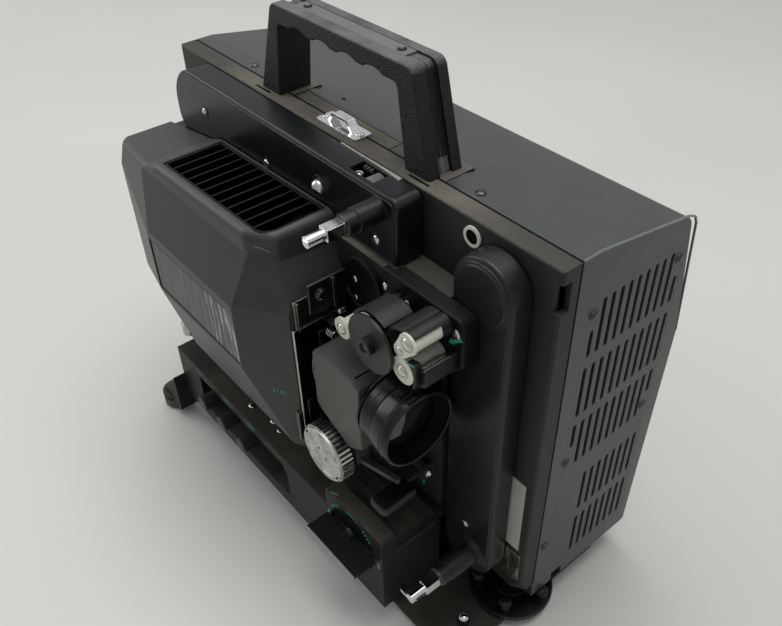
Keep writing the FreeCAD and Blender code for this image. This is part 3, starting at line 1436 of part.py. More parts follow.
def make_selector_knob():
    """Round mode knob with a wide paddle across it."""
    face = base_front_y + 1.0
    disc = rod_y(dial_x, dial_z, dial_radius - 0.6, face, base_front_y + dial_depth - 0.4)
    half = paddle_length / 2
    corners = [
        (dial_x - half, dial_z - paddle_sheet * 0.2, 2.0),
        (dial_x - half, dial_z + paddle_sheet / 2, 0),
        (dial_x + half, dial_z + paddle_sheet / 2, 0),
        (dial_x + half, dial_z + paddle_sheet * 0.2, 0),
        (dial_x + half * 0.3, dial_z - paddle_sheet / 2, 6.0),
        (dial_x - half * 0.4, dial_z - paddle_sheet / 2, 6.0),
    ]
    paddle = slab_y(corners, base_front_y - paddle_reach, base_front_y - 1.0)
    bar = slab_y([(dial_x - 22, dial_z - 3.5, 0), (dial_x + 22, dial_z - 3.5, 0), (dial_x + 22, dial_z + 4, 0),
                  (dial_x - 22, dial_z + 4, 0)], base_front_y - 1.0, face + 1)
    hub = rod_y(dial_x, dial_z, 7.0, base_front_y - 6.0, face + 1)
    stem = rod_y(dial_x, dial_z, 4.0, face, base_front_y + 18)
    return disc.fuse(paddle).fuse(bar).fuse(hub).fuse(stem).removeSplitter()


def make_control_knob(index):
    """Ribbed control knob that stands out of the recess."""
    x = control_first_x + index * control_pitch
    back = base_front_y + panel_depth - 0.5
    knob = toothed_y(x, control_z, 16, control_radius, 0.8, control_front_y + 1.0, back)
    face = rod_y(x, control_z, control_radius - 1.0, control_front_y, control_front_y + 1.0)
    stem = rod_y(x, control_z, 3.0, back, base_front_y + panel_depth + 2.0)
    return knob.fuse(face).fuse(stem).removeSplitter()


def make_loop_lever():
    """Lever with a long pad that the operator presses down."""
    half = lever_pad_width / 2
    pin_y = lever_pin_y()
    middle = lever_hub_middle()
    pad = slab_z([(lever_x - half, lever_pad_front_y, 4.0), (lever_x + half, lever_pad_front_y, 4.0),
                  (lever_x + half - 1, lever_pad_front_y + lever_pad_length, 2.0),
                  (lever_x - half, lever_pad_front_y + lever_pad_length, 2.0)], lever_z - 2.5, lever_z + 2.5)
    pad = fillet(pad, 1.2, lambda e: at(e, z=lever_z + 2.5))
    arm = box(middle - lever_hub_half, middle + lever_hub_half, lever_pad_front_y + lever_pad_length - 6,
              pin_y, lever_z - 2.0, lever_z + 2.0)
    hub = rod_x(pin_y, lever_z, lever_hub_radius, middle - lever_hub_half, middle + lever_hub_half)
    lever = pad.fuse(arm).fuse(hub)
    lever = lever.cut(rod_x(pin_y, lever_z, lever_pin_radius + bearing_gap, middle - 20, middle + 20))
    return lever.removeSplitter()


def make_frame_lever():
    """Framing lever: a tab outside the cover, carried by a bar beside the film drive housing."""
    z0 = frame_lever_z0
    z1 = frame_lever_z1
    x0 = mech_left_x + 1.0
    x1 = knob_x - knob_radius - 0.6
    bar = box(x0, lamp_right_x - lamp_wall - 0.5, -86.5, mech_front_y - seat_gap, z0, z1)
    neck = box(x0, x1, -89.0, -86.5, z0, z1)
    neck = neck.fuse(box(x0, x1, -86.5, -85.0, z0, z1))
    tab = slab_y([(gate_x + 0.2, z0, 0), (x1, z0, 1.0), (x1, 171.0, 1.0), (gate_x + 0.2, 171.0, 0)], -93.0, -89.0)
    return bar.fuse(neck).fuse(tab).removeSplitter()


def wheel_lug(x, y):
    """Finger lug: a stem that widens upwards, a groove and a round cap."""
    top = wheel_bottom_z + wheel_sheet
    wide = wheel_lug_radius
    cap_z = wheel_lug_top_z - wide * 0.8
    profile = [(top - 2.0, 0), (top - 2.0, wheel_lug_stem), (top, wheel_lug_stem), (cap_z - 1.2, wide - 0.4),
               (cap_z - 1.2, wide - 1.2), (cap_z, wide - 1.2), (cap_z, wide), (cap_z + 1.6, wide),
               (wheel_lug_top_z - 0.8, wide * 0.72), (wheel_lug_top_z, wide * 0.4), (wheel_lug_top_z, 0)]
    return turned_z(profile, x, y)


def make_elevation_wheel():
    """Milled wheel with finger lugs and a screw, turned to lift the front."""
    top = wheel_bottom_z + wheel_sheet
    wheel = toothed_z(wheel_x, wheel_y, wheel_teeth, wheel_radius, 0.9, wheel_bottom_z, top)
    dish = turned_z([(top - 1.2, wheel_hub_radius + 4.0), (top - 1.2, wheel_radius - 3.0), (top + 1, wheel_radius - 2.4),
                     (top + 1, wheel_hub_radius + 3.4)], wheel_x, wheel_y)
    wheel = wheel.cut(dish)
    for i in range(wheel_lugs):
        turn = math.radians(wheel_lug_turn + 360.0 * i / wheel_lugs)
        x = wheel_x + wheel_lug_ring * math.cos(turn)
        y = wheel_y + wheel_lug_ring * math.sin(turn)
        wheel = wheel.fuse(wheel_lug(x, y))
    hub = rod_z(wheel_x, wheel_y, wheel_hub_radius, top, frame_bottom_z - seat_gap)
    washer = rod_z(wheel_x, wheel_y, wheel_hub_radius, plate_foot_height + plate_sheet + seat_gap, wheel_bottom_z)
    stud = rod_z(wheel_x, wheel_y, stud_radius, plate_foot_height + 0.5, frame_bottom_z + stud_height)
    return wheel.fuse(hub).fuse(washer).fuse(stud).removeSplitter()


def make_elevation_plate():
    """Foot plate below the milled wheel, with its two guide pins."""
    low = plate_foot_height
    top = low + plate_sheet
    radius = plate_pin_radius
    plate = slab_z(rectangle(plate_x0, plate_x1, wheel_y - plate_half_width, wheel_y + plate_half_width, 3.0), low, top)
    for y in (wheel_y - plate_pin_reach, wheel_y + plate_pin_reach):
        pin = rod_z(plate_pin_x, y, radius, top, top + radius)
        dome = Part.makeSphere(radius, Vector(plate_pin_x, y, top + radius))
        upper = box(plate_pin_x - radius, plate_pin_x + radius, y - radius, y + radius, top + radius, top + 2 * radius)
        plate = plate.fuse(pin).fuse(dome.common(upper))
    return plate.cut(rod_z(wheel_x, wheel_y, stud_radius + stud_gap, low - 1, top + 1)).removeSplitter()


def make_plate_feet():
    feet = []
    for side in (-1, 1):
        profile = [(0, 0), (0, plate_foot_radius - 1.5), (1.5, plate_foot_radius),
                   (plate_foot_height, plate_foot_radius), (plate_foot_height, 0)]
        feet.append(turned_z(profile, plate_foot_x, wheel_y + side * (plate_half_width - plate_foot_radius - 1.0)))
    return Part.makeCompound(feet)


def make_ring_badge():
    ring = turned_y([(face_y - 1.2, 4.6), (face_y - 1.2, 6.6), (face_y, 6.8), (face_y, 0),
                     (face_y - 0.5, 0), (face_y - 0.5, 4.6)], 134.6, drop(11.5))
    return ring


def make_data_plate():
    return box(180.5, 194.0, face_y - 0.4, face_y, 92.0, 162.0)


def make_side_latch():
    """Small slotted catch plate low on the casting."""
    thick = 1.2
    plate = slab_y([(175.0, 60.0, 3.0), (190.0, 54.0, 2.0), (197.0, 60.0, 2.0), (197.0, 88.0, 1.0),
                    (175.0, 88.0, 1.0)], face_y - thick, face_y)
    for x in (181.0, 189.0):
        plate = plate.cut(slab_y(rectangle(x - 2, x + 2, 64.0, 84.0, 1.9), face_y - thick - 1, face_y + 1))
    return plate


def motor_place():
    return (knob_x - motor_back_x, knob_z - motor_drop_z)


def make_motor():
    """Motor can on its foot, with a nose round the shaft."""
    x, z = motor_place()
    can = rod_y(x, z, motor_radius, motor_y0, motor_y1)
    nose = rod_y(x, z, rotor_radius * 4, motor_y0 - rotor_radius, motor_y0)
    foot = box(x - motor_radius + 2, x + motor_radius - 2, motor_foot_y0, motor_foot_y1,
               housing_bottom_z + housing_wall, z - motor_radius / 2)
    motor = can.fuse(nose).fuse(foot)
    bore = rod_y(x, z, rotor_radius + bearing_gap, motor_y0 - rotor_radius - 1, motor_y0 + 26.0)
    return motor.cut(bore).removeSplitter()


def make_motor_rotor():
    """Motor shaft with its belt pulley and the blower fan."""
    x, z = motor_place()
    half = pulley_width / 2
    hub = rotor_radius + 5.0
    fan = rotor_y0 + 3.0
    end = motor_y0 + 24.0
    profile = [
        (rotor_y0, 0), (rotor_y0, rotor_radius), (fan, rotor_radius), (fan, fan_radius), (fan + 1.5, fan_radius),
        (fan + 1.5, hub), (pulley_y - half - 3, hub), (pulley_y - half, motor_pulley_radius),
        (pulley_y - 1.5, motor_pulley_radius - 1.5), (pulley_y + 1.5, motor_pulley_radius - 1.5),
        (pulley_y + half, motor_pulley_radius), (pulley_y + half, rotor_radius), (end, rotor_radius), (end, 0),
    ]
    rotor = turned_y(profile, x, z)
    blades = []
    for i in range(fan_blades):
        blade = box(x - 0.8, x + 0.8, fan + 1.0, fan + 11.0, z + fan_radius - 20, z + fan_radius - 1)
        blade.rotate(Vector(x, 0, z), Vector(0, 1, 0), 360.0 * i / fan_blades)
        blades.append(blade)
    return rotor.fuse(blades).removeSplitter()


def make_drive_belt():
    """Belt round the motor pulley and the main pulley."""
    x, z = motor_place()
    across = Vector(knob_x - x, 0, knob_z - z)
    span = across.Length
    loops = []
    for grow in (0.3, 2.0):
        small = motor_pulley_radius + grow
        large = main_pulley_radius + grow
        lean = math.acos((small - large) / span)
        along = math.atan2(across.z, across.x)
        points = []
        for centre, radius in (((x, z), small), ((knob_x, knob_z), large)):
            for side in (1, -1):
                turn = along + side * lean
                points.append(Vector(centre[0] + radius * math.cos(turn), 0, centre[1] + radius * math.sin(turn)))
        small_top, small_low, large_top, large_low = points
        near = Vector(x - small * math.cos(along), 0, z - small * math.sin(along))
        far = Vector(knob_x + large * math.cos(along), 0, knob_z + large * math.sin(along))
        edges = [
            Part.Arc(small_low, near, small_top).toShape(),
            Part.makeLine(small_top, large_top),
            Part.Arc(large_top, far, large_low).toShape(),
            Part.makeLine(large_low, small_low),
        ]
        loops.append(Part.Face(Part.Wire(edges)).extrude(Vector(0, 4.0, 0)))
    belt = loops[1].cut(loops[0])
    belt.translate(Vector(0, pulley_y - 2.0, 0))
    return belt


def make_transformer():
    """Laminated core on the housing floor, with its coil."""
    core = box(core_x0, core_x1, core_y0, core_y1, housing_bottom_z + housing_wall, core_z1)
    coil = box(core_x0 + 10, core_x1 - 10, core_y0 - 8, core_y1 + 8, housing_bottom_z + 10, core_z1 - 9)
    return core.fuse(coil).removeSplitter()


def make_power_inlet():
    """Recessed appliance inlet low on the rear end."""
    y0 = inlet_y - inlet_width / 2
    y1 = inlet_y + inlet_width / 2
    z0 = inlet_z - inlet_height / 2
    z1 = inlet_z + inlet_height / 2
    body = box(rear_x - inlet_lip, rear_x + inlet_depth, y0, y1, z0, z1)
    well = slab_x(rectangle(y0 + 2, y1 - 2, z0 + 2, z1 - 2, 3.0), rear_x - 1, rear_x + inlet_depth - 2)
    body = body.cut(well)
    for dy, dz in ((-6.0, -2.0), (0.0, 3.0), (6.0, -2.0)):
        body = body.fuse(box(rear_x + 1, rear_x + inlet_depth - 1, inlet_y + dy - 1, inlet_y + dy + 1,
                             inlet_z + dz - 2, inlet_z + dz + 2))
    return body.removeSplitter()


nodes = {
    "main_frame": make_main_frame,
    "rear_housing": make_rear_housing,
    "front_grille": make_front_grille,
    "chrome_screws": make_chrome_screws,
    "handle_front_shell": make_handle_front_shell,
    "handle_rear_shell": make_handle_rear_shell,
    "handle_cap": make_handle_cap,
    "lid_catch": make_lid_catch,
    "lamp_house_cover": make_lamp_house_cover,
    "lamp_vent_grille": make_lamp_vent_grille,
    "lamp_nameplate": make_lamp_nameplate,
    "lamp_thumbscrew": make_lamp_thumbscrew,
    "projection_lamp": make_lamp,
    "lamp_socket": make_lamp_socket,
    "mechanism_plate": make_mechanism_plate,
    "guard_drum": make_guard_drum,
    "sprocket_guard": make_sprocket_guard,
    "film_shoe": make_film_shoe,
    "film_guides": make_film_guides,
    "roller_keeper": make_roller_keeper,
    "steel_pins": make_roller_pins,
    "low_roller": lambda: make_roller(low_roller_x, drop(low_roller_drop), low_roller_radius, low_roller_waist),
    "small_roller": lambda: make_roller(small_roller_x, drop(small_roller_drop), small_roller_radius,
                                        small_roller_waist),
    "sprocket": make_sprocket,
    "aperture_plate": make_aperture_plate,
    "pressure_plate": make_pressure_plate,
    "lens_carrier": make_lens_carrier,
    "lens_barrel": make_lens_barrel,
    "lens_glass": make_lens_glass,
    "inching_knob": make_inching_knob,
    "main_shaft": make_main_shaft,
    "shutter": make_shutter,
    "take_up_arm": make_take_up_arm,
    "feed_arm": make_feed_arm,
    "arm_pivots": make_arm_pivots,
    "take_up_arm_screws": make_arm_screws,
    "take_up_spindle": lambda: make_spindle(take_up_spindle_x, drop(take_up_spindle_drop), take_up_boss_end_y),
    "feed_spindle": lambda: make_spindle(feed_spindle_x, feed_spindle_z, feed_boss_end_y),
    "take_up_latch": make_take_up_latch,
    "feed_latch": make_feed_latch,
    "base_beam": make_base_beam,
    "bottom_pan": make_bottom_pan,
    "rear_feet": make_rear_feet,
    "selector_knob": make_selector_knob,
    "left_control_knob": lambda: make_control_knob(0),
    "middle_control_knob": lambda: make_control_knob(1),
    "right_control_knob": lambda: make_control_knob(2),
    "loop_lever": make_loop_lever,
    "frame_lever": make_frame_lever,
    "elevation_wheel": make_elevation_wheel,
    "elevation_plate": make_elevation_plate,
    "plate_feet": make_plate_feet,
    "ring_badge": make_ring_badge,
    "data_plate": make_data_plate,
    "side_latch": make_side_latch,
    "motor": make_motor,
    "motor_rotor": make_motor_rotor,
    "drive_belt": make_drive_belt,
    "transformer": make_transformer,
    "power_inlet": make_power_inlet,
}

# The part's origin is on the table under the middle of the whole machine.
middle_x = (rear_x - inlet_lip + wheel_x + wheel_radius) / 2
middle_y = (lamp_front_y + housing_back_y) / 2

os.makedirs("parts", exist_ok=True)
for name, make in nodes.items():
    shape = make()
    shape.translate(Vector(-middle_x, -middle_y, 0))
    shape.exportStep("parts/" + name + ".step")
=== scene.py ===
import math

import bmesh
import bpy
from mathutils import Matrix, Vector


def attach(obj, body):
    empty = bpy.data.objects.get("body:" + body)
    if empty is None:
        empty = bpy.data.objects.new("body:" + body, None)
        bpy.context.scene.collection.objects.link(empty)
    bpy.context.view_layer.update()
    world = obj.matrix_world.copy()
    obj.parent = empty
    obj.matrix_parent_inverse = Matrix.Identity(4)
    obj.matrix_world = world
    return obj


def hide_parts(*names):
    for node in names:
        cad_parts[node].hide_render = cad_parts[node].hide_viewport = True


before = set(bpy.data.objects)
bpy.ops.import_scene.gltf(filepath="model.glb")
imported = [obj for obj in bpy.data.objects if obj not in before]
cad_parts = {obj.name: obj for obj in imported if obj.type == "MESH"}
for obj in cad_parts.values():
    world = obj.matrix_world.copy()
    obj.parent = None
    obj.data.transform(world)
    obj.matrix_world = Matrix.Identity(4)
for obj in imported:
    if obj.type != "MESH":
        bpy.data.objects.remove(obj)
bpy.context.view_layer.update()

# Casting sizes repeated from the part's source, in millimetres, before the shift to the shared origin.
MIDDLE_X = 5.1
MIDDLE_Y = 2.5
DECK_Z = 338.0
FACE_Y = -14.0
FRONT_X = 200.0
LENS_Y = -62.0
LENS_Z = 210.0
LENS_FRONT_X = 145.0
LENS_COLLAR_X = 112.1
KNOB_X = 75.8
KNOB_Z = 148.5
KNOB_FRONT_Y = -92.0
KNOB_BACK_Y = -80.0
KNOB_RADIUS = 22.7
KNOB_RIBS = 40
DIAL_X = 102.0
DIAL_Z = 77.0
BEAM_FRONT_Y = -90.0
BEAM_TOP_Z = 87.0
PLATE_FRONT_Y = -44.5
FILM_FRONT_Y = -72.5
SHOE_FRONT_Y = -72.2
GATE_X = 49.3
GATE_FRONT_Y = -87.5
GATE_TOP_Z = 242.0
GATE_BOTTOM_Z = 152.0
SPROCKET_X = 115.0
SPROCKET_Z = 268.0
KEEPER_X = 146.0
KEEPER_Z = 287.5
SHOE_TOP = (150.8, -67.6, 270.15)
LEVER_X = 128.0
LEVER_Z = 136.0
LEVER_FACE_Y = -33.5
ARM_FRONT_Y = -36.0
ARM_SCREWS_XZ = ((-128.5, 312.4), (-46.0, 304.0), (75.0, 303.0))
BALL_SCREW = (17.6, ARM_FRONT_Y, 314.2)
FEED_SCREW = (158.6, -31.7, 102.2)

FORWARD = (1, 0, 0)
UP = (0, 0, 1)
OUT = (0, -1, 0)
BACK = (0, 1, 0)
BODY = "projector_body"
TIGHT = math.radians(32)


def mm(x, y, z):
    """Casting millimetres to metres in the shared frame."""
    return Vector(((x - MIDDLE_X) / 1000, (y - MIDDLE_Y) / 1000, z / 1000))


def node(tree, kind, **settings):
    made = tree.nodes.new(kind)
    for key, value in settings.items():
        setattr(made, key, value)
    return made


def put(tree, value, socket):
    """Link another socket into this one, or write a plain value there."""
    if isinstance(value, bpy.types.NodeSocket):
        tree.links.new(value, socket)
    else:
        socket.default_value = value


def feed(tree, target, **values):
    """Link or write each value into the socket that its name says."""
    for label, value in values.items():
        put(tree, value, target.inputs[label.replace("_", " ")])
    return target


def math_node(tree, operation, *values, clamp=False):
    made = node(tree, "ShaderNodeMath", operation=operation, use_clamp=clamp)
    for index, value in enumerate(values):
        put(tree, value, made.inputs[index])
    return made.outputs[0]


def product(tree, *values, clamp=False):
    """Values multiplied in order, with the last step clamped on request."""
    result = values[0]
    for value in values[1:-1]:
        result = math_node(tree, "MULTIPLY", result, value)
    return math_node(tree, "MULTIPLY", result, values[-1], clamp=clamp)


def vector_node(tree, operation, *values):
    made = node(tree, "ShaderNodeVectorMath", operation=operation)
    for index, value in enumerate(values):
        put(tree, value, made.inputs[index])
    return made


def ramp(tree, value, low, high, out_low=0.0, out_high=1.0):
    made = node(tree, "ShaderNodeMapRange")
    feed(tree, made, Value=value, From_Min=low, From_Max=high, To_Min=out_low, To_Max=out_high)
    return made.outputs["Result"]


def noise(tree, vector, scale, detail=3.0, rough=0.5):
    made = node(tree, "ShaderNodeTexNoise")
    return feed(tree, made, Vector=vector, Scale=scale, Detail=detail, Roughness=rough).outputs["Fac"]


def object_place(tree):
    return node(tree, "ShaderNodeTexCoord").outputs["Object"]


def stretched(tree, place, amount):
    """Place multiplied along each axis, so that a pattern draws out into lines."""
    return vector_node(tree, "MULTIPLY", place, amount).outputs[0]


def part_of(tree, vector, axis):
    """One coordinate of a vector."""
    split = node(tree, "ShaderNodeSeparateXYZ")
    tree.links.new(vector, split.inputs[0])
    return split.outputs[axis]


def surface(tree, kind):
    """The surface's own Normal, or its flat True Normal."""
    return node(tree, "ShaderNodeNewGeometry").outputs[kind]


def rounded_normal(tree, radius):
    """Normal as if the edges had this radius."""
    return feed(tree, node(tree, "ShaderNodeBevel", samples=4), Radius=radius).outputs[0]


def group_of(name, inputs, outputs):
    """Shader node group with named sockets; returns the tree, the values given to it and its output node."""
    tree = bpy.data.node_groups.new(name, "ShaderNodeTree")
    for label, value in inputs.items():
        kind = "NodeSocketVector" if isinstance(value, tuple) else "NodeSocketFloat"
        tree.interface.new_socket(name=label, in_out="INPUT", socket_type=kind).default_value = value
    for label in outputs:
        tree.interface.new_socket(name=label, in_out="OUTPUT", socket_type="NodeSocketFloat")
    return tree, tree.nodes.new("NodeGroupInput").outputs, tree.nodes.new("NodeGroupOutput")


def make_grain_group():
    """Fine orange-peel grain of sprayed paint and moulded plastic."""
    tree, given, target = group_of("fine_grain", {"Scale": 900.0, "Speckle": 0.5}, ["Height", "Shade"])
    place = object_place(tree)
    fine = noise(tree, place, given["Scale"], 2.0, 0.6)
    wide = noise(tree, place, 38.0, 4.0, 0.6)
    spots = product(tree, math_node(tree, "SUBTRACT", fine, 0.5), given["Speckle"])
    cloud = product(tree, math_node(tree, "SUBTRACT", wide, 0.5), 0.6)
    shade = math_node(tree, "ADD", math_node(tree, "ADD", spots, cloud), 1.0)
    feed(tree, target, Height=fine, Shade=shade)
    return tree


def make_pebble_group():
    """Coarse leather-like pebbles of the handle and the moulded levers."""
    tree, given, target = group_of("pebbles", {"Scale": 900.0}, ["Height", "Shade"])
    place = object_place(tree)
    cells = node(tree, "ShaderNodeTexVoronoi", feature="SMOOTH_F1")
    feed(tree, cells, Vector=place, Scale=given["Scale"], Smoothness=0.6)
    height = math_node(tree, "SUBTRACT", noise(tree, place, 700.0, 2.0, 0.5), cells.outputs["Distance"])
    feed(tree, target, Height=height, Shade=ramp(tree, height, -0.3, 0.5, 0.75, 1.3))
    return tree


def make_dust_group():
    """Dust that has settled on faces that look up, thicker in patches and near a middle."""
    settings = {"Amount": 0.5, "Patch Scale": 20.0, "Middle": (0.0, 0.0, 0.0), "Reach": 9.0}
    tree, given, target = group_of("settled_dust", settings, ["Mask"])
    place = object_place(tree)
    away = vector_node(tree, "DISTANCE", place, given["Middle"]).outputs["Value"]
    near = ramp(tree, math_node(tree, "DIVIDE", away, given["Reach"]), 0.35, 1.0, 1.0, 0.25)
    up = ramp(tree, part_of(tree, surface(tree, "Normal"), "Z"), 0.35, 0.95)
    patches = ramp(tree, noise(tree, place, given["Patch Scale"], 5.0, 0.62), 0.32, 0.68, 0.35, 1.0)
    specks = ramp(tree, noise(tree, place, 1400.0, 2.0, 0.7), 0.35, 0.75, 0.6, 1.3)
    feed(tree, target, Mask=product(tree, up, patches, specks, near, given["Amount"], clamp=True))
    return tree


def make_scuff_and_highlight_group():
    """Mask of scuffed edges and painted edge highlights: where the rounded normal leaves the flat one, broken
    up by noise.
    """
    tree, given, target = group_of("scuffed_and_highlit_edges", {"Amount": 0.5, "Broken": 0.15}, ["Mask"])
    level = vector_node(tree, "DOT_PRODUCT", rounded_normal(tree, 0.0006), surface(tree, "True Normal"))
    edge = ramp(tree, level.outputs["Value"], 0.995, 0.86)
    broken = ramp(tree, noise(tree, object_place(tree), 160.0, 4.0, 0.7), 0.42, 0.62)
    broken = math_node(tree, "MAXIMUM", broken, given["Broken"])
    feed(tree, target, Mask=product(tree, edge, broken, given["Amount"], clamp=True))
    return tree


def make_brush_group():
    """Fine lines that run one way, for rolled and turned metal."""
    tree, given, target = group_of("drawn_lines", {"Stretch": (40.0, 1500.0, 1500.0)}, ["Height", "Shade"])
    place = object_place(tree)
    lines = noise(tree, stretched(tree, place, given["Stretch"]), 1.0, 3.0, 0.6)
    smudge = noise(tree, place, 60.0, 4.0, 0.6)
    both = math_node(tree, "ADD", product(tree, lines, 0.5), product(tree, smudge, 0.7))
    feed(tree, target, Height=lines, Shade=math_node(tree, "ADD", both, 0.4))
    return tree


GRAIN = make_grain_group()
PEBBLES = make_pebble_group()
DUST = make_dust_group()
SCUFF_AND_HIGHLIGHT = make_scuff_and_highlight_group()
DRAWN = make_brush_group()


def start_material(name, **constants):
    """New material with constants on the shader's own sockets."""
    made = bpy.data.materials.new(name)
    made.use_nodes = True
    tree = made.node_tree
    return made, tree, feed(tree, tree.nodes["Principled BSDF"], **constants)


def use_group(tree, group, **values):
    return feed(tree, node(tree, "ShaderNodeGroup", node_tree=group), **values)


def shade_of(tree, colour, shade):
    """Colour made lighter and darker by a value around one."""
    made = vector_node(tree, "SCALE", colour)
    return feed(tree, made, Scale=shade).outputs[0]


def mix_colour(tree, mask, under, over):
    """Mix of two colours; sockets 6, 7 and 2 are the ones that a colour mix shows."""
    made = node(tree, "ShaderNodeMix", data_type="RGBA")
    tree.links.new(mask, made.inputs["Factor"])
    for index, value in ((6, under), (7, over)):
        put(tree, (*value, 1.0) if isinstance(value, tuple) else value, made.inputs[index])
    return made.outputs[2]


def scuffed_and_highlit(tree, tint, colour, **values):
    """Tint with its edges turned to another colour, for scuffs and painted edge highlights."""
    return mix_colour(tree, use_group(tree, SCUFF_AND_HIGHLIGHT, **values).outputs["Mask"], tint, colour)


def dusted(tree, tint, colour, **values):
    """Tint under settled dust, and the dust's mask."""
    mask = use_group(tree, DUST, **values).outputs["Mask"]
    return mix_colour(tree, mask, tint, colour), mask


def bump_into(tree, shader, height, strength, distance, soften=0.0006):
    """Bump over the softened edges of the solid."""
    bump = node(tree, "ShaderNodeBump")
    feed(tree, bump, Strength=strength, Distance=distance, Height=height, Normal=rounded_normal(tree, soften))
    feed(tree, shader, Normal=bump.outputs[0])


def coated(name, colour, roughness, scale=900.0, speckle=0.5, strength=0.35, dust=0.0, scuff_and_highlight=0.0,
           dust_colour=(0.15, 0.132, 0.1), scuff_and_highlight_colour=(0.16, 0.155, 0.14), soften=0.0006, patch=20.0,
           gloss=0.5, broken=0.15, middle=(0.0, 0.0, 0.0), reach=9.0):
    """Sprayed paint or moulded plastic with grain, dust, and edges lightened for scuffs and painted edge
    highlights.
    """
    made, tree, shader = start_material(name, Specular_IOR_Level=gloss)
    grain = use_group(tree, GRAIN, Scale=scale, Speckle=speckle)
    tint = shade_of(tree, colour, grain.outputs["Shade"])
    rough = ramp(tree, grain.outputs["Shade"], 0.7, 1.3, roughness - 0.06, roughness + 0.06)
    if scuff_and_highlight:
        tint = scuffed_and_highlit(tree, tint, scuff_and_highlight_colour, Amount=scuff_and_highlight, Broken=broken)
    if dust:
        tint, film = dusted(tree, tint, dust_colour, Amount=dust, Patch_Scale=patch, Middle=middle,
                            Reach=reach)
        rough = math_node(tree, "ADD", rough, product(tree, film, 0.35), clamp=True)
    feed(tree, shader, Base_Color=tint, Roughness=rough)
    bump_into(tree, shader, grain.outputs["Height"], strength, 0.0003, soften)
    return made


def pebbled(name, colour, roughness, scale, strength, dust=0.0, gloss=0.4, scuff_and_glint_edge=(0.11, 0.11, 0.12)):
    """Leather-like moulded skin with edges lightened for scuffs and painted edge highlights, and pale dust on
    what looks up, which on the handle also paints the sheen of light on its top.
    """
    made, tree, shader = start_material(name, Specular_IOR_Level=gloss)
    skin = use_group(tree, PEBBLES, Scale=scale)
    height = skin.outputs["Height"]
    tint = scuffed_and_highlit(tree, shade_of(tree, colour, skin.outputs["Shade"]), scuff_and_glint_edge, Amount=0.35)
    if dust:
        tint, _ = dusted(tree, tint, (0.24, 0.245, 0.245), Amount=dust, Patch_Scale=30.0)
    rough = ramp(tree, height, -0.3, 0.5, roughness + 0.12, roughness - 0.08)
    feed(tree, shader, Base_Color=tint, Roughness=rough)
    bump_into(tree, shader, height, strength, 0.0006, 0.0009)
    return made


def metal(name, colour, roughness, stretch=(300.0, 300.0, 300.0), strength=0.08, dust=0.0, scuff_and_highlight=0.0,
          soften=0.0003):
    """Rolled or turned metal, with fine lines along the axis that is stretched least."""
    made, tree, shader = start_material(name, Metallic=1.0)
    lines = use_group(tree, DRAWN, Stretch=stretch)
    shade = lines.outputs["Shade"]
    tint = shade_of(tree, colour, shade)
    if scuff_and_highlight:
        # Pale edges: scuffs and painted glints.
        tint = scuffed_and_highlit(tree, tint, (0.7, 0.69, 0.64), Amount=scuff_and_highlight, Broken=0.6)
    if dust:
        tint, _ = dusted(tree, tint, (0.2, 0.18, 0.14), Amount=dust, Patch_Scale=60.0)
    smooth = max(roughness - 0.04, 0.02)
    feed(tree, shader, Base_Color=tint, Roughness=ramp(tree, shade, 0.7, 1.3, smooth, roughness + 0.06))
    bump_into(tree, shader, lines.outputs["Height"], strength, 0.0001, soften)
    return made


def mottled_metal(name):
    """Turned face of the inching knob: pale metal with grey mottling and fine rings."""
    made, tree, shader = start_material(name, Metallic=0.75)
    place = object_place(tree)
    stain = noise(tree, place, 110.0, 6.0, 0.7)
    off_centre = vector_node(tree, "SUBTRACT", place, mm(KNOB_X, KNOB_FRONT_Y, KNOB_Z)).outputs[0]
    reach = vector_node(tree, "LENGTH", stretched(tree, off_centre, (1.0, 0.0, 1.0))).outputs["Value"]
    rings = math_node(tree, "SINE", product(tree, reach, 9000.0))
    tint = shade_of(tree, (0.5, 0.5, 0.47), ramp(tree, stain, 0.3, 0.7, 0.62, 1.35))
    feed(tree, shader, Base_Color=tint, Roughness=ramp(tree, stain, 0.3, 0.7, 0.5, 0.32))
    bump_into(tree, shader, rings, 0.12, 0.0001, 0.0003)
    return made


def crinkled_foil(name):
    """Bare nameplate: dark grey crinkled film, with pale upright crease streaks near its right end as painted
    highlights.
    """
    made, tree, shader = start_material(name, Metallic=0.3, Specular_IOR_Level=0.4)
    place = object_place(tree)
    ripple = noise(tree, stretched(tree, place, (330.0, 1.0, 26.0)), 1.0, 4.0, 0.62)
    right = ramp(tree, part_of(tree, place, "X"), -0.042, -0.014)
    # Pale colour on the crease ridges near the right end paints the highlights on the foil.
    crease_highlights = product(tree, ramp(tree, ripple, 0.5, 0.62), right)
    plain = shade_of(tree, (0.062, 0.066, 0.065), ramp(tree, ripple, 0.3, 0.7, 0.86, 1.16))
    tint = mix_colour(tree, crease_highlights, plain, (0.42, 0.43, 0.41))
    feed(tree, shader, Base_Color=tint, Roughness=ramp(tree, ripple, 0.3, 0.7, 0.5, 0.34))
    bump_into(tree, shader, ripple, 0.5, 0.0006, 0.0003)
    return made


def glass(name, colour, clear, coat=0.0, roughness=0.02):
    """Faintly clouded glass; clear is how much light goes through it."""
    made, tree, shader = start_material(name, Transmission_Weight=clear, IOR=1.5, Coat_Weight=coat)
    cloud = noise(tree, object_place(tree), 45.0, 3.0, 0.5)
    feed(tree, shader, Base_Color=shade_of(tree, colour, ramp(tree, cloud, 0.2, 0.8, 0.92, 1.06)),
         Roughness=ramp(tree, cloud, 0.3, 0.8, roughness, roughness + 0.03))
    return made


# The lighter edge colours given below paint edge highlights as well as scuffs.
THIN_DUST = (0.06, 0.056, 0.047)
COOL_SCUFF_AND_HIGHLIGHT = (0.13, 0.14, 0.145)

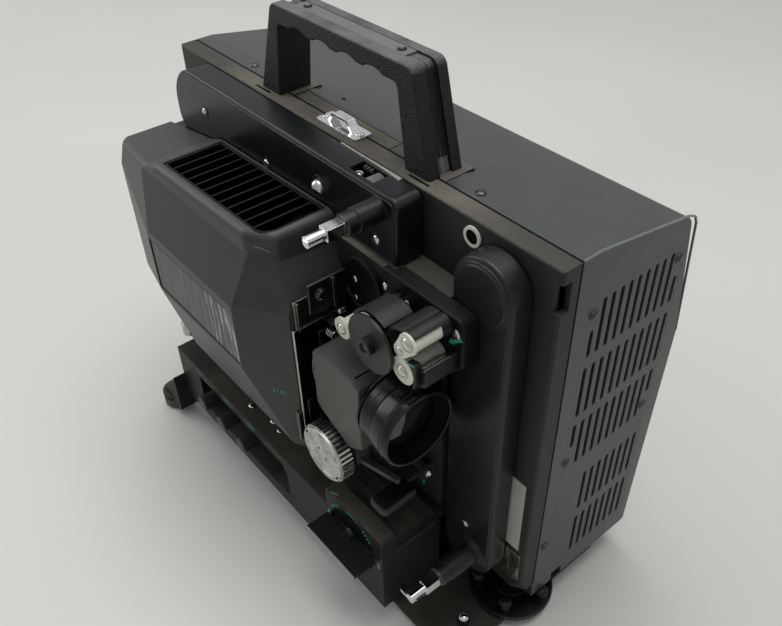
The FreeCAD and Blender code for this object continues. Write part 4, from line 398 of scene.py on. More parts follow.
casting_paint = coated("casting_paint", (0.019, 0.0188, 0.0172), 0.5, 700.0, 0.7, 0.4, dust=0.95, scuff_and_highlight=0.4,
                       dust_colour=(0.2, 0.183, 0.138), gloss=0.25, middle=mm(5.0, -6.0, DECK_Z), reach=0.16)
drive_paint = coated("drive_paint", (0.0042, 0.0043, 0.0044), 0.42, 800.0, 0.4, 0.3, dust=0.12, scuff_and_highlight=0.9,
                     dust_colour=(0.08, 0.072, 0.058), scuff_and_highlight_colour=(0.17, 0.168, 0.155), gloss=0.14,
                     broken=0.5)
gate_black = coated("gate_black", (0.0016, 0.0018, 0.0024), 0.3, 800.0, 0.3, 0.15, dust=0.03, scuff_and_highlight=0.9,
                    scuff_and_highlight_colour=(0.34, 0.335, 0.3), gloss=0.1, broken=0.7)
hood_paint = coated("hood_paint", (0.0065, 0.0066, 0.0066), 0.36, 800.0, 0.4, 0.3, dust=0.3, scuff_and_highlight=0.6,
                    dust_colour=(0.07, 0.066, 0.053), scuff_and_highlight_colour=(0.14, 0.14, 0.13), gloss=0.25, broken=0.4)
beam_paint = coated("beam_paint", (0.0105, 0.011, 0.0105), 0.5, 700.0, 0.6, 0.35, dust=0.38, scuff_and_highlight=0.65,
                    scuff_and_highlight_colour=(0.13, 0.13, 0.12), gloss=0.2)
# Its pale edge colour paints the bright highlight line along the housing's edges as well as scuffs.
housing_paint = coated("housing_paint", (0.036, 0.039, 0.039), 0.36, 800.0, 0.4, 0.2, dust=0.16, scuff_and_highlight=0.55,
                       dust_colour=(0.1, 0.1, 0.095), scuff_and_highlight_colour=(0.3, 0.31, 0.32), soften=0.0012,
                       broken=0.5)
lamp_house_paint = coated("lamp_house_paint", (0.026, 0.0268, 0.0252), 0.42, 800.0, 0.3, 0.16, dust=0.24,
                          scuff_and_highlight=0.3, dust_colour=(0.1, 0.1, 0.09), soften=0.0012, gloss=0.4)
arm_paint = coated("arm_paint", (0.0048, 0.006, 0.0072), 0.3, 700.0, 0.3, 0.15, dust=0.1, scuff_and_highlight=0.5,
                   dust_colour=THIN_DUST, scuff_and_highlight_colour=COOL_SCUFF_AND_HIGHLIGHT, soften=0.0009, gloss=0.3, broken=0.6)
feed_arm_paint = coated("feed_arm_paint", (0.0085, 0.0098, 0.0102), 0.34, 700.0, 0.3, 0.15, dust=0.1,
                        scuff_and_highlight=0.5, dust_colour=THIN_DUST, scuff_and_highlight_colour=COOL_SCUFF_AND_HIGHLIGHT, soften=0.0009, gloss=0.32,
                        broken=0.6)
vent_paint = coated("vent_paint", (0.003, 0.003, 0.003), 0.45, 900.0, 0.3, 0.2, scuff_and_highlight=0.6, gloss=0.14,
                    scuff_and_highlight_colour=(0.11, 0.11, 0.105), broken=0.7)
grille_paint = coated("grille_paint", (0.055, 0.057, 0.057), 0.45, 900.0, 0.4, 0.2, scuff_and_highlight=0.2)
# The pale dust on the handle's upward faces also paints the sheen of light on its top.
handle_skin = pebbled("handle_skin", (0.006, 0.0065, 0.0085), 0.42, 1250.0, 0.9, dust=0.6, gloss=0.35,
                      scuff_and_glint_edge=(0.2, 0.205, 0.22))
handle_panel = coated("handle_panel", (0.11, 0.113, 0.114), 0.38, 900.0, 0.5, 0.15, dust=0.2, patch=60.0,
                      scuff_and_highlight=0.3)
black_plastic = coated("black_plastic", (0.0045, 0.005, 0.0056), 0.35, 900.0, 0.4, 0.2, scuff_and_highlight=0.6, gloss=0.25,
                       broken=0.5)
# Strong pale edges paint the knobs' edge highlights as well as scuffs.
control_plastic = coated("control_plastic", (0.008, 0.009, 0.0095), 0.32, 900.0, 0.4, 0.2, scuff_and_highlight=1.0,
                         gloss=0.3, scuff_and_highlight_colour=(0.2, 0.205, 0.2), broken=0.8)
matt_black = coated("matt_black", (0.002, 0.002, 0.002), 0.7, 900.0, 0.3, 0.2, gloss=0.08)
lever_grey = coated("lever_grey", (0.022, 0.023, 0.024), 0.42, 900.0, 0.4, 0.2, scuff_and_highlight=0.5, gloss=0.3)
lever_skin = pebbled("lever_skin", (0.0026, 0.003, 0.0038), 0.5, 1700.0, 0.35, gloss=0.12,
                     scuff_and_glint_edge=(0.3, 0.3, 0.29))
white_plastic = coated("white_plastic", (0.62, 0.61, 0.52), 0.34, 900.0, 0.15, 0.12, dust=0.2, soften=0.0005)
chrome = metal("chrome", (0.74, 0.74, 0.75), 0.09, (200.0, 200.0, 200.0), 0.03)
screw_steel = metal("screw_steel", (0.56, 0.55, 0.5), 0.16, (400.0, 400.0, 400.0), 0.06)
# Pale edges paint glints on the dark screw heads as well as scuffs.
dark_steel = metal("dark_steel", (0.06, 0.058, 0.05), 0.34, (1500.0, 1500.0, 60.0), 0.15, dust=0.2, scuff_and_highlight=0.9)
bright_steel = metal("bright_steel", (0.62, 0.6, 0.54), 0.26, (900.0, 900.0, 60.0), 0.1, dust=0.1)
strip_steel = metal("strip_steel", (0.3, 0.28, 0.22), 0.36, (60.0, 900.0, 900.0), 0.15)
knob_metal = metal("knob_metal", (0.62, 0.62, 0.59), 0.2, (300.0, 900.0, 300.0), 0.15, soften=0.0002)
knob_face = mottled_metal("knob_face")
# Its dust colour is darker than the paint, so faces that look up come out darker and browner.
lens_block_paint = coated("lens_block_paint", (0.046, 0.046, 0.04), 0.42, 800.0, 0.5, 0.3, dust=0.7,
                          scuff_and_highlight=0.35, dust_colour=(0.017, 0.0165, 0.0128))
lens_black = coated("lens_black", (0.002, 0.002, 0.0022), 0.24, 900.0, 0.25, 0.06, scuff_and_highlight=0.5, soften=0.0003,
                    scuff_and_highlight_colour=(0.2, 0.2, 0.2), gloss=0.3, broken=0.6)
lens_glass = glass("lens_glass", (0.0105, 0.0072, 0.0056), 0.0, coat=0.4, roughness=0.05)
lens_coating = coated("lens_coating", (0.012, 0.0082, 0.0065), 0.5, 60.0, 0.1, 0.0, gloss=0.15)
lamp_glass = glass("lamp_glass", (0.9, 0.92, 0.95), 0.9)
rubber = coated("rubber", (0.062, 0.06, 0.051), 0.7, 900.0, 0.6, 0.4, dust=0.5)
pale_label = coated("pale_label", (0.4, 0.41, 0.36), 0.5, 700.0, 0.3, 0.1)
motor_paint = coated("motor_paint", (0.05, 0.055, 0.06), 0.4, 800.0, 0.4, 0.2)
disc_grey = coated("disc_grey", (0.017, 0.0175, 0.0175), 0.4, 900.0, 0.4, 0.15, scuff_and_highlight=0.6, gloss=0.3,
                   scuff_and_highlight_colour=(0.09, 0.09, 0.088), broken=0.5)
nose_grey = coated("nose_grey", (0.24, 0.24, 0.225), 0.42, 900.0, 0.3, 0.15, scuff_and_highlight=0.2)
rim_highlight_paint = coated("rim_highlight_paint", (0.1, 0.105, 0.11), 0.22, 900.0, 0.3, 0.08, scuff_and_highlight=0.6, soften=0.0003,
                   scuff_and_highlight_colour=(0.35, 0.36, 0.37), gloss=0.7, broken=0.5)
green_mark = coated("green_mark", (0.03, 0.33, 0.21), 0.5, 900.0, 0.4, 0.1)
foil = crinkled_foil("crinkled_foil")

FINISH = {
    casting_paint: ["main_frame"],
    drive_paint: ["mechanism_plate", "guard_drum"],
    gate_black: ["aperture_plate", "pressure_plate"],
    hood_paint: ["sprocket_guard", "film_shoe", "sprocket"],
    housing_paint: ["rear_housing"],
    grille_paint: ["front_grille"],
    handle_skin: ["handle_front_shell", "handle_rear_shell"],
    handle_panel: ["handle_cap"],
    lamp_house_paint: ["lamp_house_cover"],
    vent_paint: ["lamp_vent_grille", "shutter", "bottom_pan"],
    foil: ["lamp_nameplate"],
    chrome: ["lid_catch", "take_up_spindle", "feed_spindle", "take_up_latch", "feed_latch"],
    screw_steel: ["lamp_thumbscrew", "steel_pins", "main_shaft", "arm_pivots", "side_latch", "motor_rotor",
                  "chrome_screws", "take_up_arm_screws"],
    lamp_glass: ["projection_lamp"],
    black_plastic: ["lamp_socket", "elevation_wheel", "power_inlet"],
    control_plastic: ["left_control_knob", "middle_control_knob", "right_control_knob"],
    dark_steel: ["film_guides", "frame_lever"],
    white_plastic: ["roller_keeper", "low_roller", "small_roller", "ring_badge"],
    lens_block_paint: ["lens_carrier"],
    lens_black: ["lens_barrel"],
    lens_glass: ["lens_glass"],
    knob_metal: ["inching_knob"],
    arm_paint: ["take_up_arm"],
    feed_arm_paint: ["feed_arm"],
    beam_paint: ["base_beam", "elevation_plate"],
    lever_skin: ["selector_knob"],
    lever_grey: ["loop_lever"],
    rubber: ["rear_feet", "plate_feet", "drive_belt"],
    pale_label: ["data_plate"],
    motor_paint: ["motor", "transformer"],
}
for finish, names in FINISH.items():
    for name in names:
        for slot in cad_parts[name].material_slots:
            slot.material = finish


def spokes(axis, count, steps):
    """The first count of the unit vectors that divide a turn about an axis into steps."""
    side = axis.orthogonal().normalized()
    other = axis.cross(side)
    for i in range(count):
        turn = 2 * math.pi * i / steps
        yield side * math.cos(turn) + other * math.sin(turn)


def add_object(name, data):
    made = bpy.data.objects.new(name, data)
    bpy.context.scene.collection.objects.link(made)
    return made


def shade_smooth(mesh):
    """Smooth faces, with the sharp edges kept."""
    mesh.polygons.foreach_set("use_smooth", [True] * len(mesh.polygons))
    mesh.set_sharp_from_angle(angle=TIGHT)


def keep_result(holder, modifier):
    """Make an object's one modifier part of its mesh."""
    bpy.context.view_layer.update()
    made = bpy.data.meshes.new_from_object(holder.evaluated_get(bpy.context.evaluated_depsgraph_get()))
    holder.modifiers.remove(modifier)
    holder.data = made
    shade_smooth(made)
    return holder


class Stock:
    """Mesh under construction, in casting millimetres."""

    def __init__(self):
        self.mesh = bmesh.new()

    def lathe(self, profile, centre, axis, steps=64):
        """Closed ring of (along, radius) points turned about an axis through centre."""
        centre = Vector(centre)
        axis = Vector(axis).normalized()
        rows = [[self.mesh.verts.new(centre + axis * a + out * r) for a, r in profile]
                for out in spokes(axis, steps, steps)]
        count = len(profile)
        for here, after in zip(rows, rows[1:] + rows[:1]):
            for j in range(count):
                k = (j + 1) % count
                if profile[j][1] or profile[k][1]:
                    self.mesh.faces.new((here[j], here[k], after[k], after[j]))
        return self

    def prism(self, outline, origin, u, v, depth):
        """Flat (a, b) outline on the axes u and v, thick along their cross product."""
        origin, u, v = Vector(origin), Vector(u), Vector(v)
        w = u.cross(v).normalized() * depth
        low = [self.mesh.verts.new(origin + u * a + v * b) for a, b in outline]
        high = [self.mesh.verts.new(p.co + w) for p in low]
        self.mesh.faces.new(low[::-1])
        self.mesh.faces.new(high)
        count = len(outline)
        for i in range(count):
            j = (i + 1) % count
            self.mesh.faces.new((low[i], low[j], high[j], high[i]))
        return self

    def block(self, x0, x1, y0, y1, z0, z1):
        outline = [(0, 0), (x1 - x0, 0), (x1 - x0, z1 - z0), (0, z1 - z0)]
        return self.prism(outline, (x0, y1, z0), FORWARD, UP, y1 - y0)

    def coil(self, start, axis, radius, wire, pitch, turns, steps=14):
        """Round wire wound about an axis."""
        start = Vector(start)
        axis = Vector(axis).normalized()
        rows = []
        for i, out in enumerate(spokes(axis, int(turns * steps) + 1, steps)):
            middle = start + out * radius + axis * (pitch * i / steps)
            rows.append([self.mesh.verts.new(middle + (out * math.cos(t) + axis * math.sin(t)) * wire)
                         for t in (k * math.pi / 3 for k in range(6))])
        for here, after in zip(rows, rows[1:]):
            for k in range(6):
                self.mesh.faces.new((here[k], after[k], after[(k + 1) % 6], here[(k + 1) % 6]))
        self.mesh.faces.new(rows[0])
        self.mesh.faces.new(rows[-1][::-1])
        return self

    def soften(self, size, segments=2):
        """Round the sharp edges."""
        edges = [e for e in self.mesh.edges if len(e.link_faces) == 2 and e.calc_face_angle(0) > TIGHT]
        bmesh.ops.bevel(self.mesh, geom=edges, offset=size, segments=segments, affect="EDGES",
                        profile=0.5, clamp_overlap=True)
        return self

    def cast(self, name, finish=None, local=False):
        """Finished object at the origin; a local one keeps its own small coordinates as a pattern."""
        bmesh.ops.remove_doubles(self.mesh, verts=self.mesh.verts, dist=1e-4)
        bmesh.ops.recalc_face_normals(self.mesh, faces=self.mesh.faces)
        for vert in self.mesh.verts:
            vert.co = vert.co / 1000 if local else mm(*vert.co)
        data = bpy.data.meshes.new(name)
        self.mesh.to_mesh(data)
        self.mesh.free()
        shade_smooth(data)
        if finish:
            data.materials.append(finish)
        return add_object(name, data)

    def pattern(self, name):
        return self.cast(name, local=True)


def rounded(corners, steps=5):
    """Outline through (a, b, radius) corners, with each radius drawn as an arc."""
    points = []
    count = len(corners)
    for i in range(count):
        here = Vector(corners[i][:2])
        radius = corners[i][2]
        back = (Vector(corners[i - 1][:2]) - here).normalized()
        ahead = (Vector(corners[(i + 1) % count][:2]) - here).normalized()
        half = back.angle(ahead) / 2
        middle = here + (back + ahead).normalized() * (radius / math.sin(half))
        first = here + back * (radius / math.tan(half)) - middle
        last = here + ahead * (radius / math.tan(half)) - middle
        swing = math.pi - 2 * half
        sign = 1 if first.x * last.y - first.y * last.x > 0 else -1
        for k in range(steps + 1):
            turn = sign * swing * k / steps
            points.append((middle.x + first.x * math.cos(turn) - first.y * math.sin(turn),
                           middle.y + first.x * math.sin(turn) + first.y * math.cos(turn)))
    return points


def arc(centre, radius, turns):
    return [(centre[0] + radius * math.cos(t), centre[1] + radius * math.sin(t)) for t in turns]


def arc_band(inner, outer, first, last, centre, steps=20):
    """Outline of a band between two radii, from one angle to another in degrees."""
    turns = [math.radians(first + (last - first) * i / steps) for i in range(steps + 1)]
    return arc(centre, outer, turns) + arc(centre, inner, turns[::-1])


def spoke(turn):
    """Unit vector at an angle up from +X, on the operator's face."""
    return Vector((math.cos(turn), 0, math.sin(turn)))


def fit(piece, body, slot, *stands_for):
    """Hang a finished piece on its body."""
    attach(piece, body)
    if stands_for:
        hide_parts(*stands_for)


def make_set_out_tree():
    """Geometry nodes: one pattern set out on points, each with its own tilt and size."""
    tree = bpy.data.node_groups.new("set_out", "GeometryNodeTree")
    for label, kind in (("Points", "Geometry"), ("Pattern", "Object"), ("Finish", "Material"),
                        ("Swell", "Float"), ("Turn Spread", "Float"), ("Seed", "Int")):
        tree.interface.new_socket(name=label, in_out="INPUT", socket_type="NodeSocket" + kind)
    tree.interface.new_socket(name="Made", in_out="OUTPUT", socket_type="NodeSocketGeometry")
    given = tree.nodes.new("NodeGroupInput").outputs
    pattern = feed(tree, node(tree, "GeometryNodeObjectInfo"), Object=given["Pattern"])
    tilt, size = (feed(tree, node(tree, "GeometryNodeInputNamedAttribute", data_type="FLOAT_VECTOR"),
                       Name=label).outputs["Attribute"] for label in ("tilt", "size"))
    upright = node(tree, "FunctionNodeEulerToRotation")
    put(tree, tilt, upright.inputs[0])
    spread = node(tree, "FunctionNodeRandomValue", data_type="FLOAT")
    least, most = spread.inputs[2:4]
    put(tree, math_node(tree, "MULTIPLY", given["Turn Spread"], -1.0), least)
    put(tree, given["Turn Spread"], most)
    feed(tree, spread, Seed=given["Seed"])
    spin = node(tree, "FunctionNodeAxisAngleToRotation")
    put(tree, UP, spin.inputs[0])
    put(tree, spread.outputs[1], spin.inputs[1])
    turned = node(tree, "FunctionNodeRotateRotation", rotation_space="LOCAL")
    put(tree, upright.outputs[0], turned.inputs[0])
    put(tree, spin.outputs[0], turned.inputs[1])
    swollen = feed(tree, vector_node(tree, "SCALE", size), Scale=given["Swell"])
    placed = feed(tree, node(tree, "GeometryNodeInstanceOnPoints"), Points=given["Points"],
                  Instance=pattern.outputs["Geometry"], Rotation=turned.outputs[0], Scale=swollen.outputs[0])
    real = feed(tree, node(tree, "GeometryNodeRealizeInstances"), Geometry=placed.outputs[0])
    painted = feed(tree, node(tree, "GeometryNodeSetMaterial"), Geometry=real.outputs[0],
                   Material=given["Finish"])
    put(tree, painted.outputs[0], tree.nodes.new("NodeGroupOutput").inputs[0])
    return tree


SET_OUT = make_set_out_tree()


def facing(out, up=UP):
    """Euler turn that lays a pattern's Z along out and its Y as near to up as it goes."""
    z = Vector(out).normalized()
    y = Vector(up)
    if abs(z.dot(y.normalized())) > 0.99:
        y = Vector(BACK)
    x = y.cross(z).normalized()
    return Matrix((x, z.cross(x), z)).transposed().to_euler()


def set_out(name, pattern, places, finish, swell=1.0, spread=0.0, seed=1):
    """Plain mesh of one pattern at many places, each (centre, tilt, size)."""
    data = bpy.data.meshes.new(name)
    data.from_pydata([mm(*centre) for centre, _, _ in places], [], [])
    for label, column in (("tilt", 1), ("size", 2)):
        layer = data.attributes.new(label, "FLOAT_VECTOR", "POINT")
        layer.data.foreach_set("vector", [v for place in places for v in place[column]])
    holder = add_object(name, data)
    modifier = holder.modifiers.new("set_out", "NODES")
    modifier.node_group = SET_OUT
    values = {"Pattern": pattern, "Finish": finish, "Swell": swell, "Turn Spread": spread, "Seed": seed}
    for item in SET_OUT.interface.items_tree:
        if item.in_out == "INPUT" and item.name in values:
            modifier[item.identifier] = values[item.name]
    return keep_result(holder, modifier)


def cut_from(solid, tool):
    """Cut one mesh out of another and keep the result in the first."""
    modifier = solid.modifiers.new("cut", "BOOLEAN")
    modifier.operation = "DIFFERENCE"
    modifier.solver = "EXACT"
    modifier.object = tool
    keep_result(solid, modifier)
    bpy.data.objects.remove(tool)
    return solid


def screw_pattern(arms):
    """Domed screw head of radius 1, seated at the origin, with a slot for each (half width, half height)."""
    dome = [(-0.15, 0), (-0.15, 0.96), (0.12, 1.0), (0.3, 0.93), (0.46, 0.76), (0.56, 0.5), (0.6, 0.2),
            (0.6, 0)]
    head = Stock().lathe(dome, (0, 0, 0), UP, 28).pattern("screw_head")
    tool = Stock()
    for wide, tall in arms:
        tool.block(-wide, wide, -tall, tall, 0.28, 1.0)
    return cut_from(head, tool.pattern("screw_tool"))


def heads(*rows):
    """Screw heads from (radius, axis, places) rows, a little flatter than the pattern."""
    return [(place, facing(axis, (0, 1, 0.3)), (radius, radius, radius * 0.8))
            for radius, axis, places in rows for place in places]


def make_screws():
    """Recessed screws of the casing, the film path, the arms and the dial."""
    cross = screw_pattern(((0.62, 0.13), (0.13, 0.62)))
    slotted = screw_pattern(((1.2, 0.12),))
    end_yz = ((95.2, 294.8), (17.2, 293.5), (94.6, 169.6), (15.8, 168.3), (7.5, 83.5))
    cover = heads((3.4, FORWARD, [(FRONT_X, y, z) for y, z in end_yz]),
                  (3.4, UP, [(x, 7.6, DECK_Z) for x in (-122.5, 118.0)]),
                  (3.2, BACK, [(x, 111.8, 60.0) for x in (-170.0, 0.0, 170.0)]))
    casing = heads((2.7, OUT, [(93.0, PLATE_FRONT_Y, 282.4), (113.1, PLATE_FRONT_Y, 280.9)]),
                   (3.1, OUT, [(155.4, PLATE_FRONT_Y, 285.4)]),
                   (2.7, OUT, [(59.9, -43.0, 268.0)]),
                   (2.1, OUT, [(59.9, -43.0, 253.0)]),
                   (3.0, UP, [(-51.0, -78.0, BEAM_TOP_Z), (-24.0, -74.0, BEAM_TOP_Z)]),
                   (2.4, UP, [(-12.0, -76.0, BEAM_TOP_Z)]),
                   (3.0, UP, [(-17.1, -2.0, DECK_Z + 1.2), (18.0, -2.0, DECK_Z + 1.2)]))
    film = heads((4.4, OUT, [(KEEPER_X, FILM_FRONT_Y, KEEPER_Z)]),
                 (2.8, OUT, [(139.5, FILM_FRONT_Y, 278.5)]),
                 (4.0, OUT, [(141.0, SHOE_FRONT_Y, 264.0)]),
                 (3.9, OUT, [(83.5, SHOE_FRONT_Y, 258.0)]))
    arm = heads((3.2, OUT, [(x, ARM_FRONT_Y, z) for x, z in ARM_SCREWS_XZ]),
                (3.7, UP, [(48.6, -27.6, 334.0)]))
    feed_arm = heads((3.0, OUT, [FEED_SCREW]))
    sprocket = heads((3.0, OUT, [(SPROCKET_X, -77.5, SPROCKET_Z)]))
    cap = heads((3.0, UP, [(-43.0, 7.0, 402.8), (50.0, 7.0, 402.8)]))
    dial = heads((3.6, OUT, [(DIAL_X - 1.0, -91.0, DIAL_Z + 7.5)]))
    for name, pattern, places, finish, seed, body, slot, *stands_for in (
            ("cover_screws", cross, cover, dark_steel, 4, BODY, "steel"),
            ("casing_screws", cross, casing, screw_steel, 3, BODY, "steel", "chrome_screws"),
            ("film_path_screws", cross, film, screw_steel, 8, BODY, "steel"),
            ("take_up_arm_heads", cross, arm, screw_steel, 5, "take_up_swing", "steel", "take_up_arm_screws"),
            ("feed_arm_head", cross, feed_arm, screw_steel, None, "feed_swing", "steel"),
            ("sprocket_screw", slotted, sprocket, dark_steel, None, "film_sprocket", "steel"),
            ("cap_screws", cross, cap, black_plastic, 6, BODY, "black_plastic"),
            ("dial_screw", slotted, dial, lever_grey, None, "mode_selector", "black_plastic")):
        turned = {"spread": 0.7, "seed": seed} if seed else {}
        fit(set_out(name, pattern, places, finish, **turned), body, slot, *stands_for)
    for pattern in (cross, slotted):
        bpy.data.objects.remove(pattern)


def make_arm_screw_seats():
    """Ball screw in the middle of the take-up arm, and the dark washers round the arms' screws."""
    dome = [(0, 0), (0, 5.6), (1.2, 5.7), (3.2, 4.9), (4.8, 3.2), (5.5, 1.2), (5.6, 0)]
    ball = Stock().lathe(dome, BALL_SCREW, OUT, 40)
    fit(ball.cast("arm_ball_screw", screw_steel), "take_up_swing", "steel")
    washers = Stock()
    washers.lathe([(-0.3, 6.2), (0.25, 6.2), (0.5, 7.2), (0.25, 8.2), (-0.3, 8.2)], BALL_SCREW, OUT, 48)
    for x, z in ARM_SCREWS_XZ:
        washers.lathe([(-0.2, 3.5), (0.3, 3.6), (0.35, 4.7), (-0.2, 4.8)], (x, ARM_FRONT_Y, z), OUT, 32)
    fit(washers.cast("arm_washers", black_plastic), "take_up_swing", "black_plastic")


def make_knob_face():
    """Turned face of the inching knob: six slots near its rim, two near its middle, and matt black plates set
    in them as painted shade.
    """
    centre = (KNOB_X, 0, KNOB_Z)
    front = -KNOB_FRONT_Y
    back = -KNOB_BACK_Y
    core = KNOB_RADIUS - 1.0
    profile = [(back, 4.0), (back, core - 2.0), (back + 1.0, core - 0.2), (front - 2.2, core),
               (front - 0.9, core), (front - 0.2, core - 0.4), (front, core - 1.0), (front, core - 4.0),
               (front - 0.5, core - 4.4), (front - 0.7, core - 5.0), (front - 0.7, 9.0), (front - 1.2, 8.4),
               (front - 1.2, 6.6), (front - 0.8, 6.2), (front - 0.8, 0), (back + 0.5, 0), (back + 0.5, 4.0)]
    knob = Stock().lathe(profile, centre, OUT, 96).cast("knob_body", knob_face)
    tool = Stock()
    floor = Stock()
    half_wide = 0.75
    slots = [(28.5 + 60.0 * index, 19.4, 2.9) for index in range(6)]
    slots += [(144.0, 5.0, 1.7), (331.0, 4.2, 1.7)]
    for degrees, reach, half_long in slots:
        out = spoke(math.radians(degrees))
        along = Vector((-out.z, 0, out.x))
        middle = Vector((KNOB_X, KNOB_FRONT_Y, KNOB_Z)) + out * reach
        outline = [(-half_long, -half_wide), (half_long, -half_wide), (half_long, half_wide),
                   (-half_long, half_wide)]
        tool.prism(outline, middle + Vector(OUT) * 1.5, along, out, 4.5)
        # Matt black plates inside the slots paint the shade in them.
        floor.prism([(a * 0.97, b * 0.94) for a, b in outline], middle + Vector(BACK) * 1.9, along, out, 0.9)
    fit(cut_from(knob, tool.cast("knob_slots")), "main_drive", "knob_metal", "inching_knob")
    fit(floor.cast("knob_slot_floors", matt_black), "main_drive", "knob_metal")


def make_knob_rim():
    """Dark band under the flutes that paints the shade between them, and the raised flutes round the inching
    knob.
    """
    front = -KNOB_FRONT_Y - 2.4
    back = -KNOB_BACK_Y + 1.2
    core = KNOB_RADIUS - 1.0
    band = [(back, core - 0.5), (back, core + 0.12), (front, core + 0.12), (front, core - 0.5)]
    rib_gap_shade = Stock().lathe(band, (KNOB_X, 0, KNOB_Z), OUT, 96)
    fit(rib_gap_shade.cast("knob_sleeve", dark_steel), "main_drive", "knob_metal")
    tooth = [(-1.05, -0.6), (1.05, -0.6), (0.75, 0.95), (-0.75, 0.95)]
    rib = Stock().prism(tooth, (0, 0, 0), FORWARD, BACK, 9.6)
    pattern = rib.soften(0.3, 1).pattern("knob_rib")
    places = []
    for i in range(KNOB_RIBS):
        out = spoke(2 * math.pi * i / KNOB_RIBS)
        places.append((Vector((KNOB_X, KNOB_BACK_Y - 0.6, KNOB_Z)) + out * core, facing(OUT, out), (1, 1, 1)))
    fit(set_out("knob_flutes", pattern, places, knob_metal), "main_drive", "knob_metal")
    bpy.data.objects.remove(pattern)


def make_lens_barrel():
    """Stepped rings of the lens barrel and the black baffles inside its mouth."""
    centre = (0, LENS_Y, LENS_Z)
    face = LENS_COLLAR_X
    front = LENS_FRONT_X
    outer = [(70.0, 14.4), (70.0, 17.4), (face, 17.4), (face, 24.0), (face + 0.4, 24.3), (face + 1.6, 24.3),
             (face + 2.0, 22.8), (face + 4.0, 22.8), (face + 4.0, 24.6), (face + 8.6, 24.9),
             (face + 8.8, 24.5), (face + 9.3, 24.5), (face + 9.5, 24.95), (face + 14.0, 25.2),
             (face + 14.4, 24.4), (face + 15.3, 24.4), (face + 15.6, 26.3), (face + 16.2, 26.5),
             (front - 7.2, 27.6), (front - 7.0, 27.2), (front - 6.2, 27.2), (front - 6.0, 27.7),
             (front - 1.0, 27.7), (front - 0.3, 27.4), (front, 26.8), (front, 25.9), (front - 0.5, 25.3),
             (front - 2.0, 24.9), (front - 14.3, 24.9), (front - 14.3, 14.4)]
    rings = Stock().lathe(outer, centre, FORWARD, 128)
    fit(rings.cast("lens_rings", lens_black), "lens", "lens_black", "lens_barrel")
    bore = [(front - 14.2, 20.3), (front - 14.2, 24.8), (front - 2.2, 24.8)]
    for step in range(9):
        along = front - 2.2 - 0.75 * step
        radius = 24.5 - 0.42 * step
        bore += [(along, radius), (along - 0.5, radius - 0.3)]
    bore.append((front - 9.0, 20.3))
    fit(Stock().lathe(bore, centre, FORWARD, 128).cast("lens_bore", matt_black), "lens", "lens_black")


def make_lens_elements():
    """Bulging front glass and the coated glass behind it."""
    centre = (0, LENS_Y, LENS_Z)
    front = LENS_FRONT_X
    rim = 20.2
    bulge = [(front - 10.4 - 0.00272 * r * r, r) for r in (rim, 17, 13, 9, 5, 2, 0)]
    element = Stock().lathe([(front - 14.0, 0), (front - 14.0, rim)] + bulge, centre, FORWARD, 96)
    fit(element.cast("front_element", lens_glass), "lens", "lens_glass", "lens_glass")
    inner = [(front - 22.0, 0), (front - 22.0, 14.3), (front - 19.5, 14.3), (front - 17.9, 10),
             (front - 17.0, 5), (front - 16.8, 0)]
    fit(Stock().lathe(inner, centre, FORWARD, 64).cast("inner_element", lens_coating), "lens", "lens_glass")


def arrow(tail, width, head, spread):
    """Plain arrow outline that points along +a, with its tip at the origin."""
    return [(0, 0), (-head, spread), (-head, width), (-tail, width), (-tail, -width), (-head, -width),
            (-head, -spread)]


def make_direction_marks():
    """Plain green arrows, each (tip, direction on the face, size)."""
    marks = Stock()
    for (x, y, z), (a, b), size in (
            ((149.2, PLATE_FRONT_Y, 275.2), (-0.782, -0.624), 1.25),
            ((145.6, -72.0, 273.0), (-0.985, -0.17), 0.5),
            ((116.6, LEVER_FACE_Y, 106.4), (0.0, -1.0), 0.95),
            ((71.4, BEAM_FRONT_Y, 74.6), (-0.35, -0.94), 1.0),
            ((132.6, BEAM_FRONT_Y, 72.6), (0.0, -1.0), 0.75)):
        outline = [(along * size, across * size) for along, across in arrow(10.8, 1.05, 3.9, 2.1)]
        marks.prism(outline, (x, y - 0.02, z), (a, 0, b), (-b, 0, a), -0.14)
    fit(marks.cast("direction_marks", green_mark), BODY, "black_plastic")


def make_scale_ticks():
    """Green ticks round the dial and beside the knobs, the lever and the lamp house."""
    tick = Stock().block(-0.42, 0.42, -1.6, 1.6, 0, 0.15).pattern("tick")
    places = []
    short, long = 0.8, 1.0
    for first, sizes in ((40, (short, long, short, long)), (76, (short, long, short, long, short)),
                         (124, (long, short, long, short, long))):
        for index, size in enumerate(sizes):
            out = spoke(math.radians(first + 6 * index))
            place = Vector((DIAL_X, BEAM_FRONT_Y, DIAL_Z)) + out * 27.4
            places.append((place, facing(OUT, out), (1, size, 1)))
    for start in (-126.0, -81.0, -40.0):
        for index in range(5):
            places.append(((start + 2.3 * index, BEAM_FRONT_Y, 82.8), facing(OUT), (1, 0.8, 1)))
    out = Vector((0.52, -0.85, 0.0))
    across = Vector((0.85, 0.52, 0.0))
    for index in range(4):
        places.append(((108.0 + 2.2 * index, LEVER_FACE_Y, 112.0), facing(OUT), (1, 0.9, 1)))
        places.append(((80.0 + 2.4 * index, BEAM_FRONT_Y, 109.0 + 1.6 * index), facing(OUT), (1, 0.7, 1)))
        place = Vector((32.6, -98.2, 183.1)) + across * 2.6 * index + out * 0.05
        places.append((place, facing(out), (1, 0.9, 1)))
    fit(set_out("scale_ticks", tick, places, green_mark), BODY, "black_plastic")
    bpy.data.objects.remove(tick)


